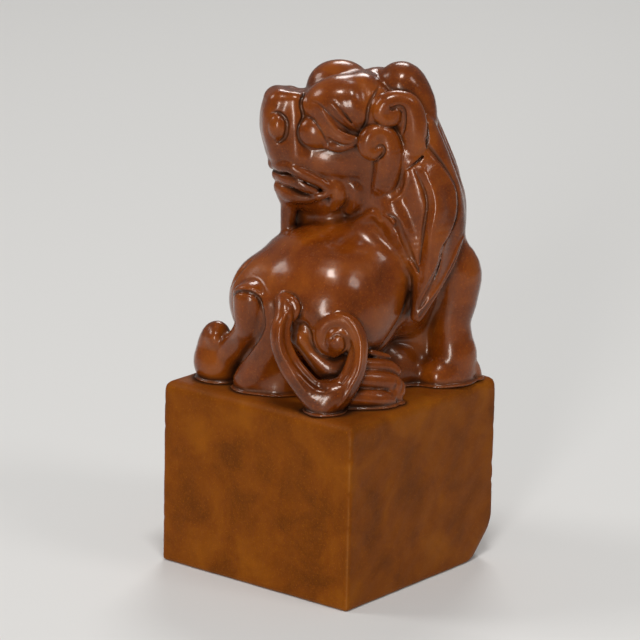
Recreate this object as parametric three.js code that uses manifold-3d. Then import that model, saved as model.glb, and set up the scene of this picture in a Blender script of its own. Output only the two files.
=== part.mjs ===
// A carved stone seal: a guardian lion that looks back over its left shoulder, on a square block.
// Millimetres, +Z up, the lion walks towards +X. The origin is the centre of the seal face,
// which is the underside of the block. The real seal is cut from one stone, so each mesh is one
// carved form of it, and neighbouring forms are parted only by a hairline.
import * as THREE from "three";
import { mergeVertices } from "three/addons/utils/BufferGeometryUtils.js";
import Module from "manifold-3d";

// The block.
const BLOCK_SIDE = 32;
const BLOCK_HEIGHT = 25.5;
const BLOCK_BEVEL = 0.7;
const WORN_CORNER = 4.4; // how far up the worn right corner of the block is rubbed away
const WORN_CORNER_REACH = 3; // how far in from the upright edge it is rubbed away

// The seal face: a border with a plain square fret inside, in relief.
const RELIEF_DEPTH = 0.8;
const BORDER_WIDTH = 2;
const FRET_GROOVE = 1.8;
const FRET_TURNS = 3;

// The hairline between carved forms.
const SEAM = 0.3;

const degrees = THREE.MathUtils.degToRad;

// Where the lion's main masses lie, measured from the centre of the block's top face.
const BODY = { x: -1.5, y: -0.5, z: 12.6, length: 11.6, width: 10.6, height: 9.4 };
const WITHERS = { x: 3.6, y: -3.6, z: 16.6, length: 7, width: 8, height: 7 };
const RIGHT_SHOULDER = { x: 7.3, y: -7.6, z: 15.4, length: 4.9, width: 4.9, height: 5.8 };
const LEFT_SHOULDER = { x: 6.6, y: 5.4, z: 14.8, length: 5.4, width: 5.2, height: 6 };
const RIGHT_HAUNCH = { x: -3.6, y: -4.8, z: 11.4, length: 8.6, width: 6.6, height: 7.8 };
const LEFT_HAUNCH = { x: -7.6, y: 4.8, z: 11.6, length: 5.3, width: 5.4, height: 6.3 };
const HEAD = { x: 2.1, y: -1, z: 33.9 };
const MANE_TURN = degrees(128.1); // towards the lion's left
const HEAD_TURN = degrees(138.1);

// How finely the forms are faceted.
const LIMB_FACETS = { sides: 8, steps: 2, caps: 2 };
const TOE_FACETS = { sides: 6, steps: 1, caps: 1 };
const COIL_FACETS = { sides: 7, steps: 1, caps: 1 };
const LIP_FACETS = { sides: 7, steps: 1, caps: 1 };
const BALL_SEGMENTS = 14;
const BALL_RINGS = 10;
const KNOB_SEGMENTS = 10;
const KNOB_RINGS = 7;
const KNOB_SIZE = 3.3; // a mass no larger than this takes the coarser facets of a knob

const wasm = await Module();
wasm.setup();

const stone = (color, roughness) => new THREE.MeshStandardMaterial({ color, roughness, metalness: 0 });
const polishedStone = () => stone(0x8a4312, 0.3);
const satinStone = () => stone(0x96560f, 0.5);

// A closed geometry as a solid.
function solidOf(geometry) {
  const bare = geometry.index ? geometry.toNonIndexed() : geometry.clone();
  bare.deleteAttribute("normal");
  bare.deleteAttribute("uv");
  const merged = mergeVertices(bare, 1e-4);
  return new wasm.Manifold(
    new wasm.Mesh({
      numProp: 3,
      vertProperties: new Float32Array(merged.attributes.position.array),
      triVerts: new Uint32Array(merged.index.array),
    }),
  );
}

// A solid as a geometry.
function geometryOf(solid) {
  const mesh = solid.getMesh();
  const geometry = new THREE.BufferGeometry();
  geometry.setAttribute("position", new THREE.BufferAttribute(new Float32Array(mesh.vertProperties), 3));
  geometry.setIndex(new THREE.BufferAttribute(new Uint32Array(mesh.triVerts), 1));
  geometry.computeVertexNormals();
  return geometry;
}

// A rounded limb through stations of [x, y, z, half width, half thickness]. The half width is
// measured along "across", and the half thickness square to it and to the limb. It is made
// "grow" larger all round.
function limb(stations, across, grow, { sides, steps, caps } = LIMB_FACETS) {
  const line = new THREE.CatmullRomCurve3(stations.map(([x, y, z]) => new THREE.Vector3(x, y, z)));
  const sizes = new THREE.SplineCurve(stations.map((s) => new THREE.Vector2(s[3], s[4] ?? s[3])));
  const spans = (stations.length - 1) * steps;
  const rings = [];
  const addRing = (t, lean) => {
    const size = sizes.getPoint(t).addScalar(grow);
    const along = line.getTangent(t);
    const wide = across.clone().addScaledVector(along, -across.dot(along)).normalize();
    const thick = along.clone().cross(wide);
    const centre = line.getPoint(t).addScaledVector(along, Math.sin(lean) * Math.min(size.x, size.y));
    const ring = [];
    for (let i = 0; i < sides; i++) {
      const angle = (i / sides) * 2 * Math.PI;
      const point = centre.clone();
      point.addScaledVector(wide, Math.cos(angle) * size.x * Math.cos(lean));
      point.addScaledVector(thick, Math.sin(angle) * size.y * Math.cos(lean));
      ring.push(point);
    }
    rings.push(ring);
  };
  const quarter = Math.PI / 2;
  for (let k = 1; k <= caps; k++) addRing(0, (k / (caps + 1) - 1) * quarter);
  for (let k = 0; k <= spans; k++) addRing(k / spans, 0);
  for (let k = 1; k <= caps; k++) addRing(1, (k / (caps + 1)) * quarter);
  const pole = (t, sign) => {
    const size = sizes.getPoint(t).addScalar(grow);
    return line.getPoint(t).addScaledVector(line.getTangent(t), sign * Math.min(size.x, size.y));
  };
  const first = pole(0, -1);
  const last = pole(1, 1);
  const corners = [];
  for (let i = 0; i < sides; i++) {
    const next = (i + 1) % sides;
    corners.push(first, rings[0][next], rings[0][i]);
    for (let k = 0; k + 1 < rings.length; k++) {
      const [low, high] = [rings[k], rings[k + 1]];
      corners.push(low[i], low[next], high[next], low[i], high[next], high[i]);
    }
    corners.push(last, rings.at(-1)[i], rings.at(-1)[next]);
  }
  return new THREE.BufferGeometry().setFromPoints(corners);
}

// An egg-shaped mass: centre, three half sizes, and a turn about the upright.
function ball([x, y, z], [length, width, height], grow, turn = 0) {
  const small = Math.max(length, width, height) <= KNOB_SIZE;
  const facets = small ? [KNOB_SEGMENTS, KNOB_RINGS] : [BALL_SEGMENTS, BALL_RINGS];
  const geometry = new THREE.SphereGeometry(1, ...facets).rotateX(Math.PI / 2);
  return geometry.scale(length + grow, width + grow, height + grow).rotateZ(turn).translate(x, y, z);
}

const massOf = (m) => (grow) => ball([m.x, m.y, m.z], [m.length, m.width, m.height], grow);
const limbOf = (stations, across, facets) => (grow) => limb(stations, across, grow, facets);
const ballOf = (centre, halves, turn) => (grow) => ball(centre, halves, grow, turn);

// A limb that coils more tightly than it is thick, as straight lengths with rounded ends.
const coilOf = (stations, across) =>
  stations.slice(1).map((next, i) => limbOf([stations[i], next], across, COIL_FACETS));

const FORWARD = new THREE.Vector3(1, 0, 0);
const SIDEWAYS = new THREE.Vector3(0, 1, 0);
const UPRIGHT = new THREE.Vector3(0, 0, 1);

const placed = (turn) => {
  const place = new THREE.Matrix4().makeRotationZ(turn).setPosition(HEAD.x, HEAD.y, HEAD.z);
  return (form) => (grow) => form(grow).applyMatrix4(place);
};
const inHead = placed(HEAD_TURN);
const inMane = placed(MANE_TURN);

// A list of stations on the head's left, or its mirror image on the right.
const onSide = (side, stations) => stations.map(([x, y, z, ...sizes]) => [x, side * y, z, ...sizes]);

// Each carved form: its name and the shapes that it is the sum of. A form gives way to the ones
// before it in this list.
const carvings = [];
const carve = (name, ...forms) => carvings.push({ name, forms });

const TORSO = [BODY, WITHERS, RIGHT_SHOULDER, LEFT_SHOULDER, RIGHT_HAUNCH, LEFT_HAUNCH];
carve("torso", ...TORSO.map(massOf));

// The head. X runs from the back of the skull to the nose, and Y to the lion's left.
const MUZZLE = [
  [-1.5, 0, -3, 5.9, 4.3], [3, 0, -3, 5.4, 3.9], [6, 0, -2.4, 4.3, 3.3], [8.2, 0, -2, 3.2, 2.8],
];
const BRIDGE = [[3, 0, 2, 4.2], [7.2, 0, 3, 2.8], [8.4, 0, 3.1, 2.4]];
const MUZZLE_RIDGE = [[7.9, 2.3, 5, 0.9], [7.8, 2.9, 2.4, 1], [7.7, 3.2, -0.6, 1], [7.8, 3.4, -2.4, 0.9]];
const SIDE_OF_SKULL = { x: -5.2, y: 4.4, z: -1.2, length: 3.2, width: 3.2, height: 4 };
const TEMPLE = { x: -2.3, y: 4.9, z: 3.6, length: 2.6, width: 2.6, height: 3.2 };
carve(
  "head",
  inHead(ballOf([-0.6, 0, 1.4], [7.1, 6, 6.7])),
  inHead(limbOf(MUZZLE, SIDEWAYS)),
  inHead(limbOf(BRIDGE, SIDEWAYS)),
  ...[1, -1].flatMap((side) => [
    inHead(limbOf(onSide(side, MUZZLE_RIDGE), SIDEWAYS)),
    inHead(massOf({ ...SIDE_OF_SKULL, y: side * SIDE_OF_SKULL.y })),
    inHead(massOf({ ...TEMPLE, y: side * TEMPLE.y })),
  ]),
);

const NOSE = [
  [9.9, 0, 4.2, 2.8, 2], [10.2, 0, 2.4, 3, 2.1], [10.25, 0, 0.2, 3, 2.1], [10, 0, -2.3, 2.8, 1.9],
  [9.6, 0, -3.5, 2.2, 1.4],
];
carve(
  "nose",
  inHead(limbOf(NOSE, SIDEWAYS)),
  ...[1, -1].map((side) => inHead(ballOf([10.3, side * 2, 1.4], [1.3, 1.5, 2]))),
);

const NECK = [
  [5.2, -3.4, 15.4, 7.2], [6, -5.9, 21.5, 7.2], [5.7, -5.6, 27.5, 6.6], [4.2, -3.2, 33, 5.2],
];
carve("neck", limbOf(NECK, FORWARD));

const JAW = [[8.4, 0, -8.2, 2, 1.5], [7.6, 0, -7.8, 2.7, 2.1], [5, 0, -8, 3.4, 2.7], [1, 0, -7.6, 4, 3.2]];
const THROAT = [[4.8, -0.4, -9, 2.8, 3.3], [4.6, -0.4, -11.6, 2.8, 3.4], [4.2, -0.2, -15, 3, 3.6]];
carve("lower_jaw", inHead(limbOf(JAW, SIDEWAYS)), inHead(limbOf(THROAT, SIDEWAYS)));
const TONGUE = [[5.2, 0, -6.9, 4, 0.8], [7.8, 0, -6.1, 3.4, 1], [9.3, 0, -5.9, 2.2, 0.9]];
carve("tongue", inHead(limbOf(TONGUE, SIDEWAYS)));

const UPPER_LIP = [
  [3.9, 4.4, -6.8, 0.7], [4.7, 4.2, -6, 0.8], [6.1, 3.8, -5.4, 0.8], [7.7, 3.3, -4.6, 0.9],
  [8.9, 2.8, -4, 0.9], [9.9, 1.8, -4.2, 0.8],
];
const LOWER_LIP = [[5.2, 3.9, -7.8, 0.6], [6.9, 3, -8.2, 0.8], [8.2, 2.2, -8, 0.8], [9.1, 1.1, -7.4, 0.8]];
const roundTheFront = (left, ...front) => [...left, ...front, ...onSide(-1, left).reverse()];
carve("upper_lip", inHead(limbOf(roundTheFront(UPPER_LIP, [10.5, 0, -4.2, 0.8]), UPRIGHT, LIP_FACETS)));
carve("lower_lip", inHead(limbOf(roundTheFront(LOWER_LIP, [9.4, 0, -7.3, 0.8]), UPRIGHT, LIP_FACETS)));

const EYE = { x: 5.8, y: 3.7, z: 0.9, length: 2.2, width: 2, height: 2.3 };
const BROW_DOMES = {
  left: [[[1.8, 2.8, 4.3], [5.3, 4.1, 4.1]], [[-0.8, 2.7, 4.8], [3.2, 3.7, 3.9]]],
  right: [[[1.4, -2.7, 5], [4.6, 4.1, 4.2]]],
};
const BROW_ROLL = [
  [6.7, 2.8, 4.4, 0.9], [5.8, 3.6, 3.9, 1.2], [4.8, 4.3, 3.3, 1.2], [4, 4.9, 2.3, 1.2], [3.2, 5.3, 1.2, 1.1],
  [2, 5.8, 0.4, 1], [0.6, 6.2, 0.3, 0.6],
];
const LOWER_LID = [[3.9, 5.1, -0.6, 0.6], [2.7, 5.5, -0.7, 0.8], [1.1, 5.9, -0.3, 0.6]];
const EAR = [
  [-6.3, 6.9, -3.2, 0.5], [-6.6, 7, -2, 1.1], [-6.9, 7, -0.4, 1.5], [-7.1, 7, 1.4, 1.7], [-7, 6.9, 3.4, 1.7],
  [-6.2, 6.8, 5.1, 1.6], [-4.6, 6.8, 5.7, 1.4], [-3.1, 6.9, 5.3, 1.4], [-2.4, 7, 4.2, 1.3],
  [-3, 7.1, 3.3, 1.2],
];
const EAR_BAND = [[-5.9, 6, 3.6, 1.6], [-6.2, 6.2, 1.2, 1.8], [-6.4, 6.2, -1, 1.4]];
const SIDE_CURL = [
  [-2.7, 5.6, -7.6, 0.9], [-3.4, 6.4, -5.5, 1.8], [-3.8, 6.7, -3, 2], [-3.8, 6.9, -0.7, 1.9],
  [-3.2, 7, 1, 1.6], [-1.9, 7.1, 1.5, 1.4], [-0.9, 7.2, 0.8, 1.3], [-0.7, 7.2, -0.4, 1.3],
  [-1.3, 7.3, -1.1, 1.2],
];
const CHEEK_TUFT = [[3.2, 4.1, -5.8, 0.9], [1.8, 4.4, -7, 1.5], [1.9, 4, -8.8, 1]];
for (const side of [1, -1]) {
  const word = side > 0 ? "left" : "right";
  carve(`${word}_eye`, inHead(massOf({ ...EYE, y: side * EYE.y })));
  carve(
    `${word}_brow`,
    ...BROW_DOMES[word].map(([centre, halves]) => inHead(ballOf(centre, halves))),
    inHead(limbOf(onSide(side, BROW_ROLL), SIDEWAYS, LIP_FACETS)),
    inHead(limbOf(onSide(side, LOWER_LID), SIDEWAYS, LIP_FACETS)),
  );
  carve(
    `${word}_ear`,
    ...coilOf(onSide(side, EAR), SIDEWAYS).map(inHead),
    inHead(limbOf(onSide(side, EAR_BAND), SIDEWAYS, COIL_FACETS)),
  );
  carve(`${word}_side_curl`, ...coilOf(onSide(side, SIDE_CURL), SIDEWAYS).map(inHead));
  carve(`${word}_cheek_tuft`, inHead(limbOf(onSide(side, CHEEK_TUFT), SIDEWAYS)));
}
const LEFT_CREST = [[-5.4, 1.6, 6.4, 3], [-6.4, 1.8, 6.3, 3.3], [-8, 2.8, 4.6, 2.6], [-8.8, 3.4, 2, 2.1]];
const RIGHT_CREST = [
  [-5.4, -1.6, 5.6, 2.6], [-6.5, -1.8, 5.4, 3], [-8, -2.8, 4.2, 2.4], [-8.8, -3.4, 2, 2.1],
];
carve("left_crest_knot", inHead(limbOf(LEFT_CREST, SIDEWAYS)));
carve("right_crest_knot", inHead(limbOf(RIGHT_CREST, SIDEWAYS)));
carve("front_crest_knot", inHead(ballOf([-3.4, 0, 6.7], [2.4, 2.1, 2])));
const BEARD = [[8.3, 0.3, -9.3, 1.3], [8.4, 0.3, -11.2, 1.2], [8.4, 0.3, -13.4, 1.1], [8.1, 0.2, -16.4, 1]];
carve("beard", inHead(limbOf(BEARD, SIDEWAYS)));

// The mane: locks that fall from the back of the head, over the neck, to a point at each side.
// X runs forward from the neck to the chin, and Y to the side that faces the tail.
const MIDDLE_LOCK = [
  [-8.9, 0, 2.6, 2.1], [-10.6, 0, -2.2, 2.3], [-11.9, 0, -6.2, 2.7], [-12.7, 0, -10.4, 2.9],
  [-12.4, 0, -15, 2.7], [-10.6, 0, -20.4, 1.7],
];
const SIDE_LOCKS = {
  back: [
    [-9.2, 3.4, 1.5, 2], [-11, 3.6, -3.5, 2.4], [-12.3, 3.4, -8, 2.7], [-12.8, 3.4, -12, 2.6],
    [-12.2, 4.2, -15.5, 2.3], [-10.9, 5.6, -18.8, 1.8], [-9.1, 7.5, -23.4, 0.5],
  ],
  side: [
    [-7.6, 4.7, -2, 2.5], [-9.2, 5.2, -6, 3], [-10.2, 5.5, -10, 3.1], [-10.3, 5.9, -14, 2.6],
    [-10.3, 6.5, -18, 1.6], [-9.1, 7.5, -23.2, 0.4],
  ],
  shoulder: [
    [-5.2, 5, -7.5, 2.1], [-6.4, 6, -10.6, 2.3], [-8, 6.6, -14.3, 1.6], [-9.4, 7.1, -17.5, 0.9],
    [-9.6, 7.4, -20, 0.5],
  ],
};
const NECK_AXIS = -6.7; // how far back the middle of the neck lies
const roundTheNeck = (x, y) => new THREE.Vector3(-y, x - NECK_AXIS, 0).normalize();
carve("mane_middle_lock", inMane(limbOf(MIDDLE_LOCK, SIDEWAYS)));
for (const side of [1, -1]) {
  for (const [name, lock] of Object.entries(SIDE_LOCKS)) {
    const word = side > 0 ? "left" : "right";
    const [x, y] = lock[2];
    carve(`mane_${word}_${name}_lock`, inMane(limbOf(onSide(side, lock), roundTheNeck(x, side * y))));
  }
}

// The legs and paws. A paw is a pad and a row of toes, given as shares of the paw's length, width
// and height, and of a toe's half width.
const TOES = 4;
const TOE_SPACING = 1.9;
const PAD = { forward: 0.35, up: 0.3, length: 0.75, width: 0.95, height: 0.62 };
const ALONG_TOE = [
  { forward: 0.35, spread: 0.8, up: 0.6, thick: 1 },
  { forward: 0.75, spread: 1, up: 0.45, thick: 1.1 },
  { forward: 0.95, spread: 1, up: 0.14, thick: 0.8 },
];
function paw(heel, heading, { length, width, height }) {
  const ahead = new THREE.Vector3(Math.cos(heading), Math.sin(heading), 0);
  const aside = new THREE.Vector3(-ahead.y, ahead.x, 0);
  const at = (forward, sideways, up) => [
    heel[0] + ahead.x * forward * length + aside.x * sideways,
    heel[1] + ahead.y * forward * length + aside.y * sideways,
    up * height,
  ];
  const padHalves = [PAD.length * length, PAD.width * width, PAD.height * height];
  const forms = [ballOf(at(PAD.forward, 0, PAD.up), padHalves, heading)];
  const toeHalf = width / TOES;
  for (let i = 0; i < TOES; i++) {
    const sideways = (i - (TOES - 1) / 2) * toeHalf * TOE_SPACING;
    const stations = ALONG_TOE.map(({ forward, spread, up, thick }) => [
      ...at(forward, spread * sideways, up),
      thick * toeHalf,
    ]);
    forms.push(limbOf(stations, aside, TOE_FACETS));
  }
  return forms;
}
const RIGHT_FORELEG = [
  [10.9, -12.1, 15.2, 3.5], [10.9, -12.4, 11.8, 3.1], [10.2, -12.2, 8.3, 2.8], [10.3, -12.4, 5.4, 2.9],
  [10.4, -12.5, 4.1, 3.1],
];
const LEFT_FORELEG = [[10.4, 8.4, 15, 3.5], [10.2, 8.9, 11, 3.1], [10, 9.4, 7.8, 2.6], [10.2, 9.6, 4, 3]];
const RIGHT_FOREPAW_HEEL = [8.4, -12.4];
const LEFT_FOREPAW_HEEL = [8.4, 9.7];
const FOREPAW = { length: 4.8, width: 3.2, height: 4.4 };
carve("right_foreleg", limbOf(RIGHT_FORELEG, FORWARD));
carve("right_forepaw", ...paw(RIGHT_FOREPAW_HEEL, 0, FOREPAW));
carve("left_foreleg", limbOf(LEFT_FORELEG, FORWARD));
carve("left_forepaw", ...paw(LEFT_FOREPAW_HEEL, 0, FOREPAW));

const RIGHT_HIND_LEG = [
  [-11.7, -4.1, 9, 1.5], [-11.1, -5.2, 7.2, 1.4], [-10.4, -6.4, 5.8, 1.7], [-9, -7.8, 4.4, 2.1],
  [-5, -8.6, 3, 2.4], [-3.2, -9.6, 2.6, 2],
];
const LEFT_HIND_LEG = [
  [-12.6, 3.7, 12.9, 2.6], [-12.6, 3.7, 11.4, 2.5], [-12.4, 4.2, 9.2, 2.1], [-11.5, 6.1, 6.7, 1.9],
  [-10.9, 8.3, 4.6, 2.2],
];
const RIGHT_HIND_TOES = [
  [[-5.1, -10.6, 6.7, 0.5], [-3.8, -11.1, 6.2, 0.6], [-2.6, -11.6, 5.8, 0.5]],
  [[-6.2, -10.9, 5.4, 0.9], [-4.5, -11.7, 5.1, 1], [-3.2, -12.3, 4.7, 0.9], [-2.3, -12.8, 4, 0.7]],
  [
    [-7.7, -10.9, 3.7, 1.2], [-5.8, -12.1, 3.4, 1.4], [-4, -13, 3.1, 1.4], [-2.9, -13.6, 2.5, 1.2],
    [-2.6, -13.9, 1.5, 0.9],
  ],
  [[-9.3, -10.5, 1.4, 1.2], [-7.7, -11.9, 1.3, 1.4], [-6.1, -13.1, 1.1, 1.3], [-4.8, -13.6, 0.7, 1]],
  [[-4.1, -13.5, 1.7, 0.8], [-3.1, -13.9, 1.2, 0.9], [-2.6, -14.2, 0.8, 0.7]],
];
const LEFT_HIND_HEEL = [-11.4, 11.3];
const LEFT_HIND_HEADING = degrees(2);
const HIND_PAW = { length: 6.8, width: 3.7, height: 4.6 };
const LEFT_HEEL_SWELL = { x: -10.7, y: 11.2, z: 2.8, length: 2.9, width: 2.9, height: 3.9 };
const LEFT_HEEL_KNOB = { x: -11, y: 11, z: 5.9, length: 2, width: 2, height: 2.3 };
carve("right_hind_leg", limbOf(RIGHT_HIND_LEG, FORWARD));
carve("right_hind_paw", ...RIGHT_HIND_TOES.map((toe) => limbOf(toe, UPRIGHT, COIL_FACETS)));
carve("left_hind_leg", limbOf(LEFT_HIND_LEG, FORWARD));
carve(
  "left_hind_paw",
  ...paw(LEFT_HIND_HEEL, LEFT_HIND_HEADING, HIND_PAW),
  massOf(LEFT_HEEL_SWELL),
  massOf(LEFT_HEEL_KNOB),
);

// The tail falls from the rump, swells where it meets the block and rises into a scroll.
const TAIL_FALL = [
  [-13.8, -3.1, 12.9, 1.2], [-15.2, -3.4, 11, 1.4], [-15.5, -4.1, 7.9, 1.5], [-15.1, -5, 6, 1.6],
  [-14.5, -6.3, 4.2, 1.7], [-12.8, -9, 0.9, 2.2],
];
const TAIL_RISE = [
  [-12.8, -9, 0.9, 2.2], [-11.7, -10.2, 2.2, 2], [-10.6, -11.1, 3.8, 1.7], [-9.8, -11.6, 5.6, 1.5],
];
const TAIL_SCROLL = [
  [-9.8, -11.6, 5.6, 1.5], [-9.3, -11.7, 7.5, 1.4], [-9, -11.5, 9.1, 1.4], [-9.4, -10, 11.6, 1.3],
  [-9.9, -8.8, 11.9, 1.3], [-10.5, -7.7, 11.5, 1.3], [-11, -6.9, 9.8, 1.3], [-10.6, -7.8, 8.1, 1.2],
];
const VOLUTE_KNOB = { x: -10, y: -9.1, z: 9.4, length: 1.9, width: 1.9, height: 2 };
const TAIL_KNOT = { x: -12.2, y: -9.2, z: 1.9, length: 2.4, width: 2.4, height: 2.5 };
const TAIL_ROOT = [[-12.9, -2.2, 14.7, 0.7], [-13.2, -3.6, 14.4, 0.8], [-13.4, -4.5, 13, 0.7]];
const SIGHT = new THREE.Vector3(-0.787, -0.617, 0); // square to the plane in which the tail is curled
carve(
  "tail",
  limbOf(TAIL_FALL, SIGHT),
  limbOf(TAIL_RISE, SIGHT),
  ...coilOf(TAIL_SCROLL, SIGHT),
  massOf(VOLUTE_KNOB),
  massOf(TAIL_KNOT),
);
carve("tail_root", limbOf(TAIL_ROOT, SIGHT));

// The stone left standing under the rump and the belly.
const RUMP_BASE = [
  [
    [-11.6, 0.7, 12.6, 2.1], [-11.6, 0.7, 9.2, 2.3], [-11.4, 1.6, 6.3, 2.4], [-11.2, 3.2, 3.6, 2.5],
    [-11.1, 4.6, 1.2, 2.7],
  ],
  [[-9, 1.8, 5.8, 3.1], [-8.4, 2.2, 2.2, 3.9], [-8.4, 2.4, 0.2, 4.3]],
];
carve("rump_base", ...RUMP_BASE.map((swell) => limbOf(swell, FORWARD)));
const BELLY_WEB = [
  { x: 1.5, y: 0, z: 3.4, length: 7.6, width: 5.7, height: 5.5 },
  { x: 4.7, y: -6.8, z: 1.6, length: 3.9, width: 3.9, height: 4.5 },
  { x: 9, y: -5, z: 5, length: 4.3, width: 4.3, height: 8 },
];
carve("belly_web", ...BELLY_WEB.map(massOf));

// The block, with its bevelled edges, its worn corner and the relief of the seal face.
function blockSolid() {
  const half = BLOCK_SIDE / 2 - BLOCK_BEVEL;
  const outline = new THREE.Shape([
    new THREE.Vector2(-half, -half), new THREE.Vector2(half, -half),
    new THREE.Vector2(half, half), new THREE.Vector2(-half, half),
  ]);
  const bevel = { bevelThickness: BLOCK_BEVEL, bevelSize: BLOCK_BEVEL, bevelSegments: 2 };
  const raw = new THREE.ExtrudeGeometry(outline, { depth: BLOCK_HEIGHT - 2 * BLOCK_BEVEL, ...bevel });
  let block = solidOf(raw.translate(0, 0, BLOCK_BEVEL));
  const corner = new THREE.BoxGeometry(BLOCK_SIDE, BLOCK_SIDE, BLOCK_SIDE).translate(BLOCK_SIDE / 2, 0, 0);
  const lean = Math.atan2(WORN_CORNER_REACH, WORN_CORNER);
  corner.rotateY(lean).rotateZ(-Math.PI / 4);
  corner.translate(BLOCK_SIDE / 2, -BLOCK_SIDE / 2, WORN_CORNER);
  block = block.subtract(solidOf(corner));
  for (const groove of faceGrooves()) block = block.subtract(solidOf(groove));
  return block;
}

// The grooves of the seal face: one inside the border, then a square fret that winds inwards.
function faceGrooves() {
  const strips = [];
  const strip = (x0, y0, x1, y1) => {
    const [width, depth] = [Math.abs(x1 - x0) + FRET_GROOVE, Math.abs(y1 - y0) + FRET_GROOVE];
    const box = new THREE.BoxGeometry(width, depth, 2 * RELIEF_DEPTH);
    strips.push(box.translate((x0 + x1) / 2, (y0 + y1) / 2, 0));
  };
  const reach = BLOCK_SIDE / 2 - BORDER_WIDTH - FRET_GROOVE / 2;
  const pitch = reach / (FRET_TURNS + 0.5);
  let [x, y] = [-reach, -reach];
  const turns = [[1, 0], [0, 1], [-1, 0], [0, -1]];
  let run = 2 * reach;
  for (let i = 0; run > pitch; i++) {
    const [dx, dy] = turns[i % 4];
    const [nextX, nextY] = [x + dx * run, y + dy * run];
    strip(x, y, nextX, nextY);
    [x, y] = [nextX, nextY];
    if (i >= 2 && i % 2 === 0) run -= pitch;
  }
  return strips;
}

const shapeOf = (forms, grow) =>
  forms.map((form) => solidOf(form(grow))).reduce((sum, next) => sum.add(next));

const aboveBlock = solidOf(
  new THREE.BoxGeometry(4 * BLOCK_SIDE, 4 * BLOCK_SIDE, 4 * BLOCK_SIDE).translate(0, 0, 2 * BLOCK_SIDE),
);

const near = (a, b) => {
  const [p, q] = [a.boundingBox(), b.boundingBox()];
  return [0, 1, 2].every((i) => p.min[i] < q.max[i] && q.min[i] < p.max[i]);
};

const lion = new THREE.Group();
lion.position.z = BLOCK_HEIGHT;
const earlier = [];
for (const { name, forms } of carvings) {
  let solid = shapeOf(forms, 0).intersect(aboveBlock);
  for (const other of earlier) if (near(solid, other)) solid = solid.subtract(other);
  const bodies = solid.decompose().sort((a, b) => b.volume() - a.volume());
  const mesh = new THREE.Mesh(geometryOf(bodies[0]), polishedStone());
  mesh.name = name;
  lion.add(mesh);
  earlier.push(shapeOf(forms, SEAM));
}

const block = new THREE.Mesh(geometryOf(blockSolid()), satinStone());
block.name = "seal_block";

const seal = new THREE.Group();
seal.add(block, lion);
export default seal;
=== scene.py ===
"""A carved stone seal: a guardian lion that looks back over its left shoulder, on a square block.

The lion is sculpted as a signed distance in millimetres, measured from the centre of the block's top
face: limbs and balls are joined softly, and ridges, terraces and grooves are then cut into the surface.
Each carved piece is the part of that one surface that lies nearest to its own forms.
"""

import math

import bpy
import numpy as np
import openvdb
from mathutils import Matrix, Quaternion, Vector


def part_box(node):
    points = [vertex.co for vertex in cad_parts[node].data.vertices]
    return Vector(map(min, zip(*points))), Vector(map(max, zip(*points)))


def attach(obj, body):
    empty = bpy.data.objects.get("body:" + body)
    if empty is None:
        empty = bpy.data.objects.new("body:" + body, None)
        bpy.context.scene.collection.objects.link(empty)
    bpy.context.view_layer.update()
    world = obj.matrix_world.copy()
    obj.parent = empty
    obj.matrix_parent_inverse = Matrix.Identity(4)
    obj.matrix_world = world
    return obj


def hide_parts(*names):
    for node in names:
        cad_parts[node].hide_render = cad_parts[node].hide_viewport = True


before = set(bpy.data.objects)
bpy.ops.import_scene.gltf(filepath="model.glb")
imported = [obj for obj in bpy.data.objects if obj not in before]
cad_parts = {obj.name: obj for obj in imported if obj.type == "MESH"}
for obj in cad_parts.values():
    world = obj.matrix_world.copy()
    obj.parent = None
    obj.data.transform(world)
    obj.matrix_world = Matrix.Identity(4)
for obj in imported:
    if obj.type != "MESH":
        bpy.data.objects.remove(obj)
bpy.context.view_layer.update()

MM = 0.001
BLOCK_HIGH = np.array(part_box("seal_block")[1], float) / MM
TOP = BLOCK_HIGH[2]
HALF = BLOCK_HIGH[0]

# Where the head and the mane stand, and the way they face.
HEAD_PLACE = (2.1, -1.0, 33.9)
HEAD_TURN = 138.1
MANE_TURN = 128.1


def turned(stations, degrees, side=1):
    """Stations of [forward, left, up, size] about the head, as stations over the block."""
    cos, sin = math.cos(math.radians(degrees)), math.sin(math.radians(degrees))
    x, y, z = HEAD_PLACE
    out = []
    for forward, left, up, *size in stations:
        left = left * side
        out.append([x + forward * cos - left * sin, y + forward * sin + left * cos, z + up, *size])
    return out


def in_head(stations, side=1):
    return turned(stations, HEAD_TURN, side)


def in_mane(stations, side=1):
    return turned(stations, MANE_TURN, side)


# The distance kit.
FAR = 9.0  # what a field holds where no form is near
THINNEST = 0.02  # the least radius of a limb or a line
TINY = 1e-9


def smooth_path(stations, steps=5):
    """A Catmull-Rom line through the stations, with their sizes."""
    p = np.array(stations, float)
    p = np.vstack([2 * p[0] - p[1], p, 2 * p[-1] - p[-2]])
    out = []
    for i in range(1, len(p) - 2):
        a, b, c, d = p[i - 1 : i + 3]
        for t in np.arange(steps) / steps:
            straight = (c - a) * t
            curved = (2 * a - 5 * b + 4 * c - d) * t**2
            twisted = (3 * b - a - 3 * c + d) * t**3
            out.append(0.5 * (2 * b + straight + curved + twisted))
    out.append(p[-2])
    out = np.array(out)
    out[:, 3] = np.maximum(out[:, 3], THINNEST)
    return out


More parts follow.
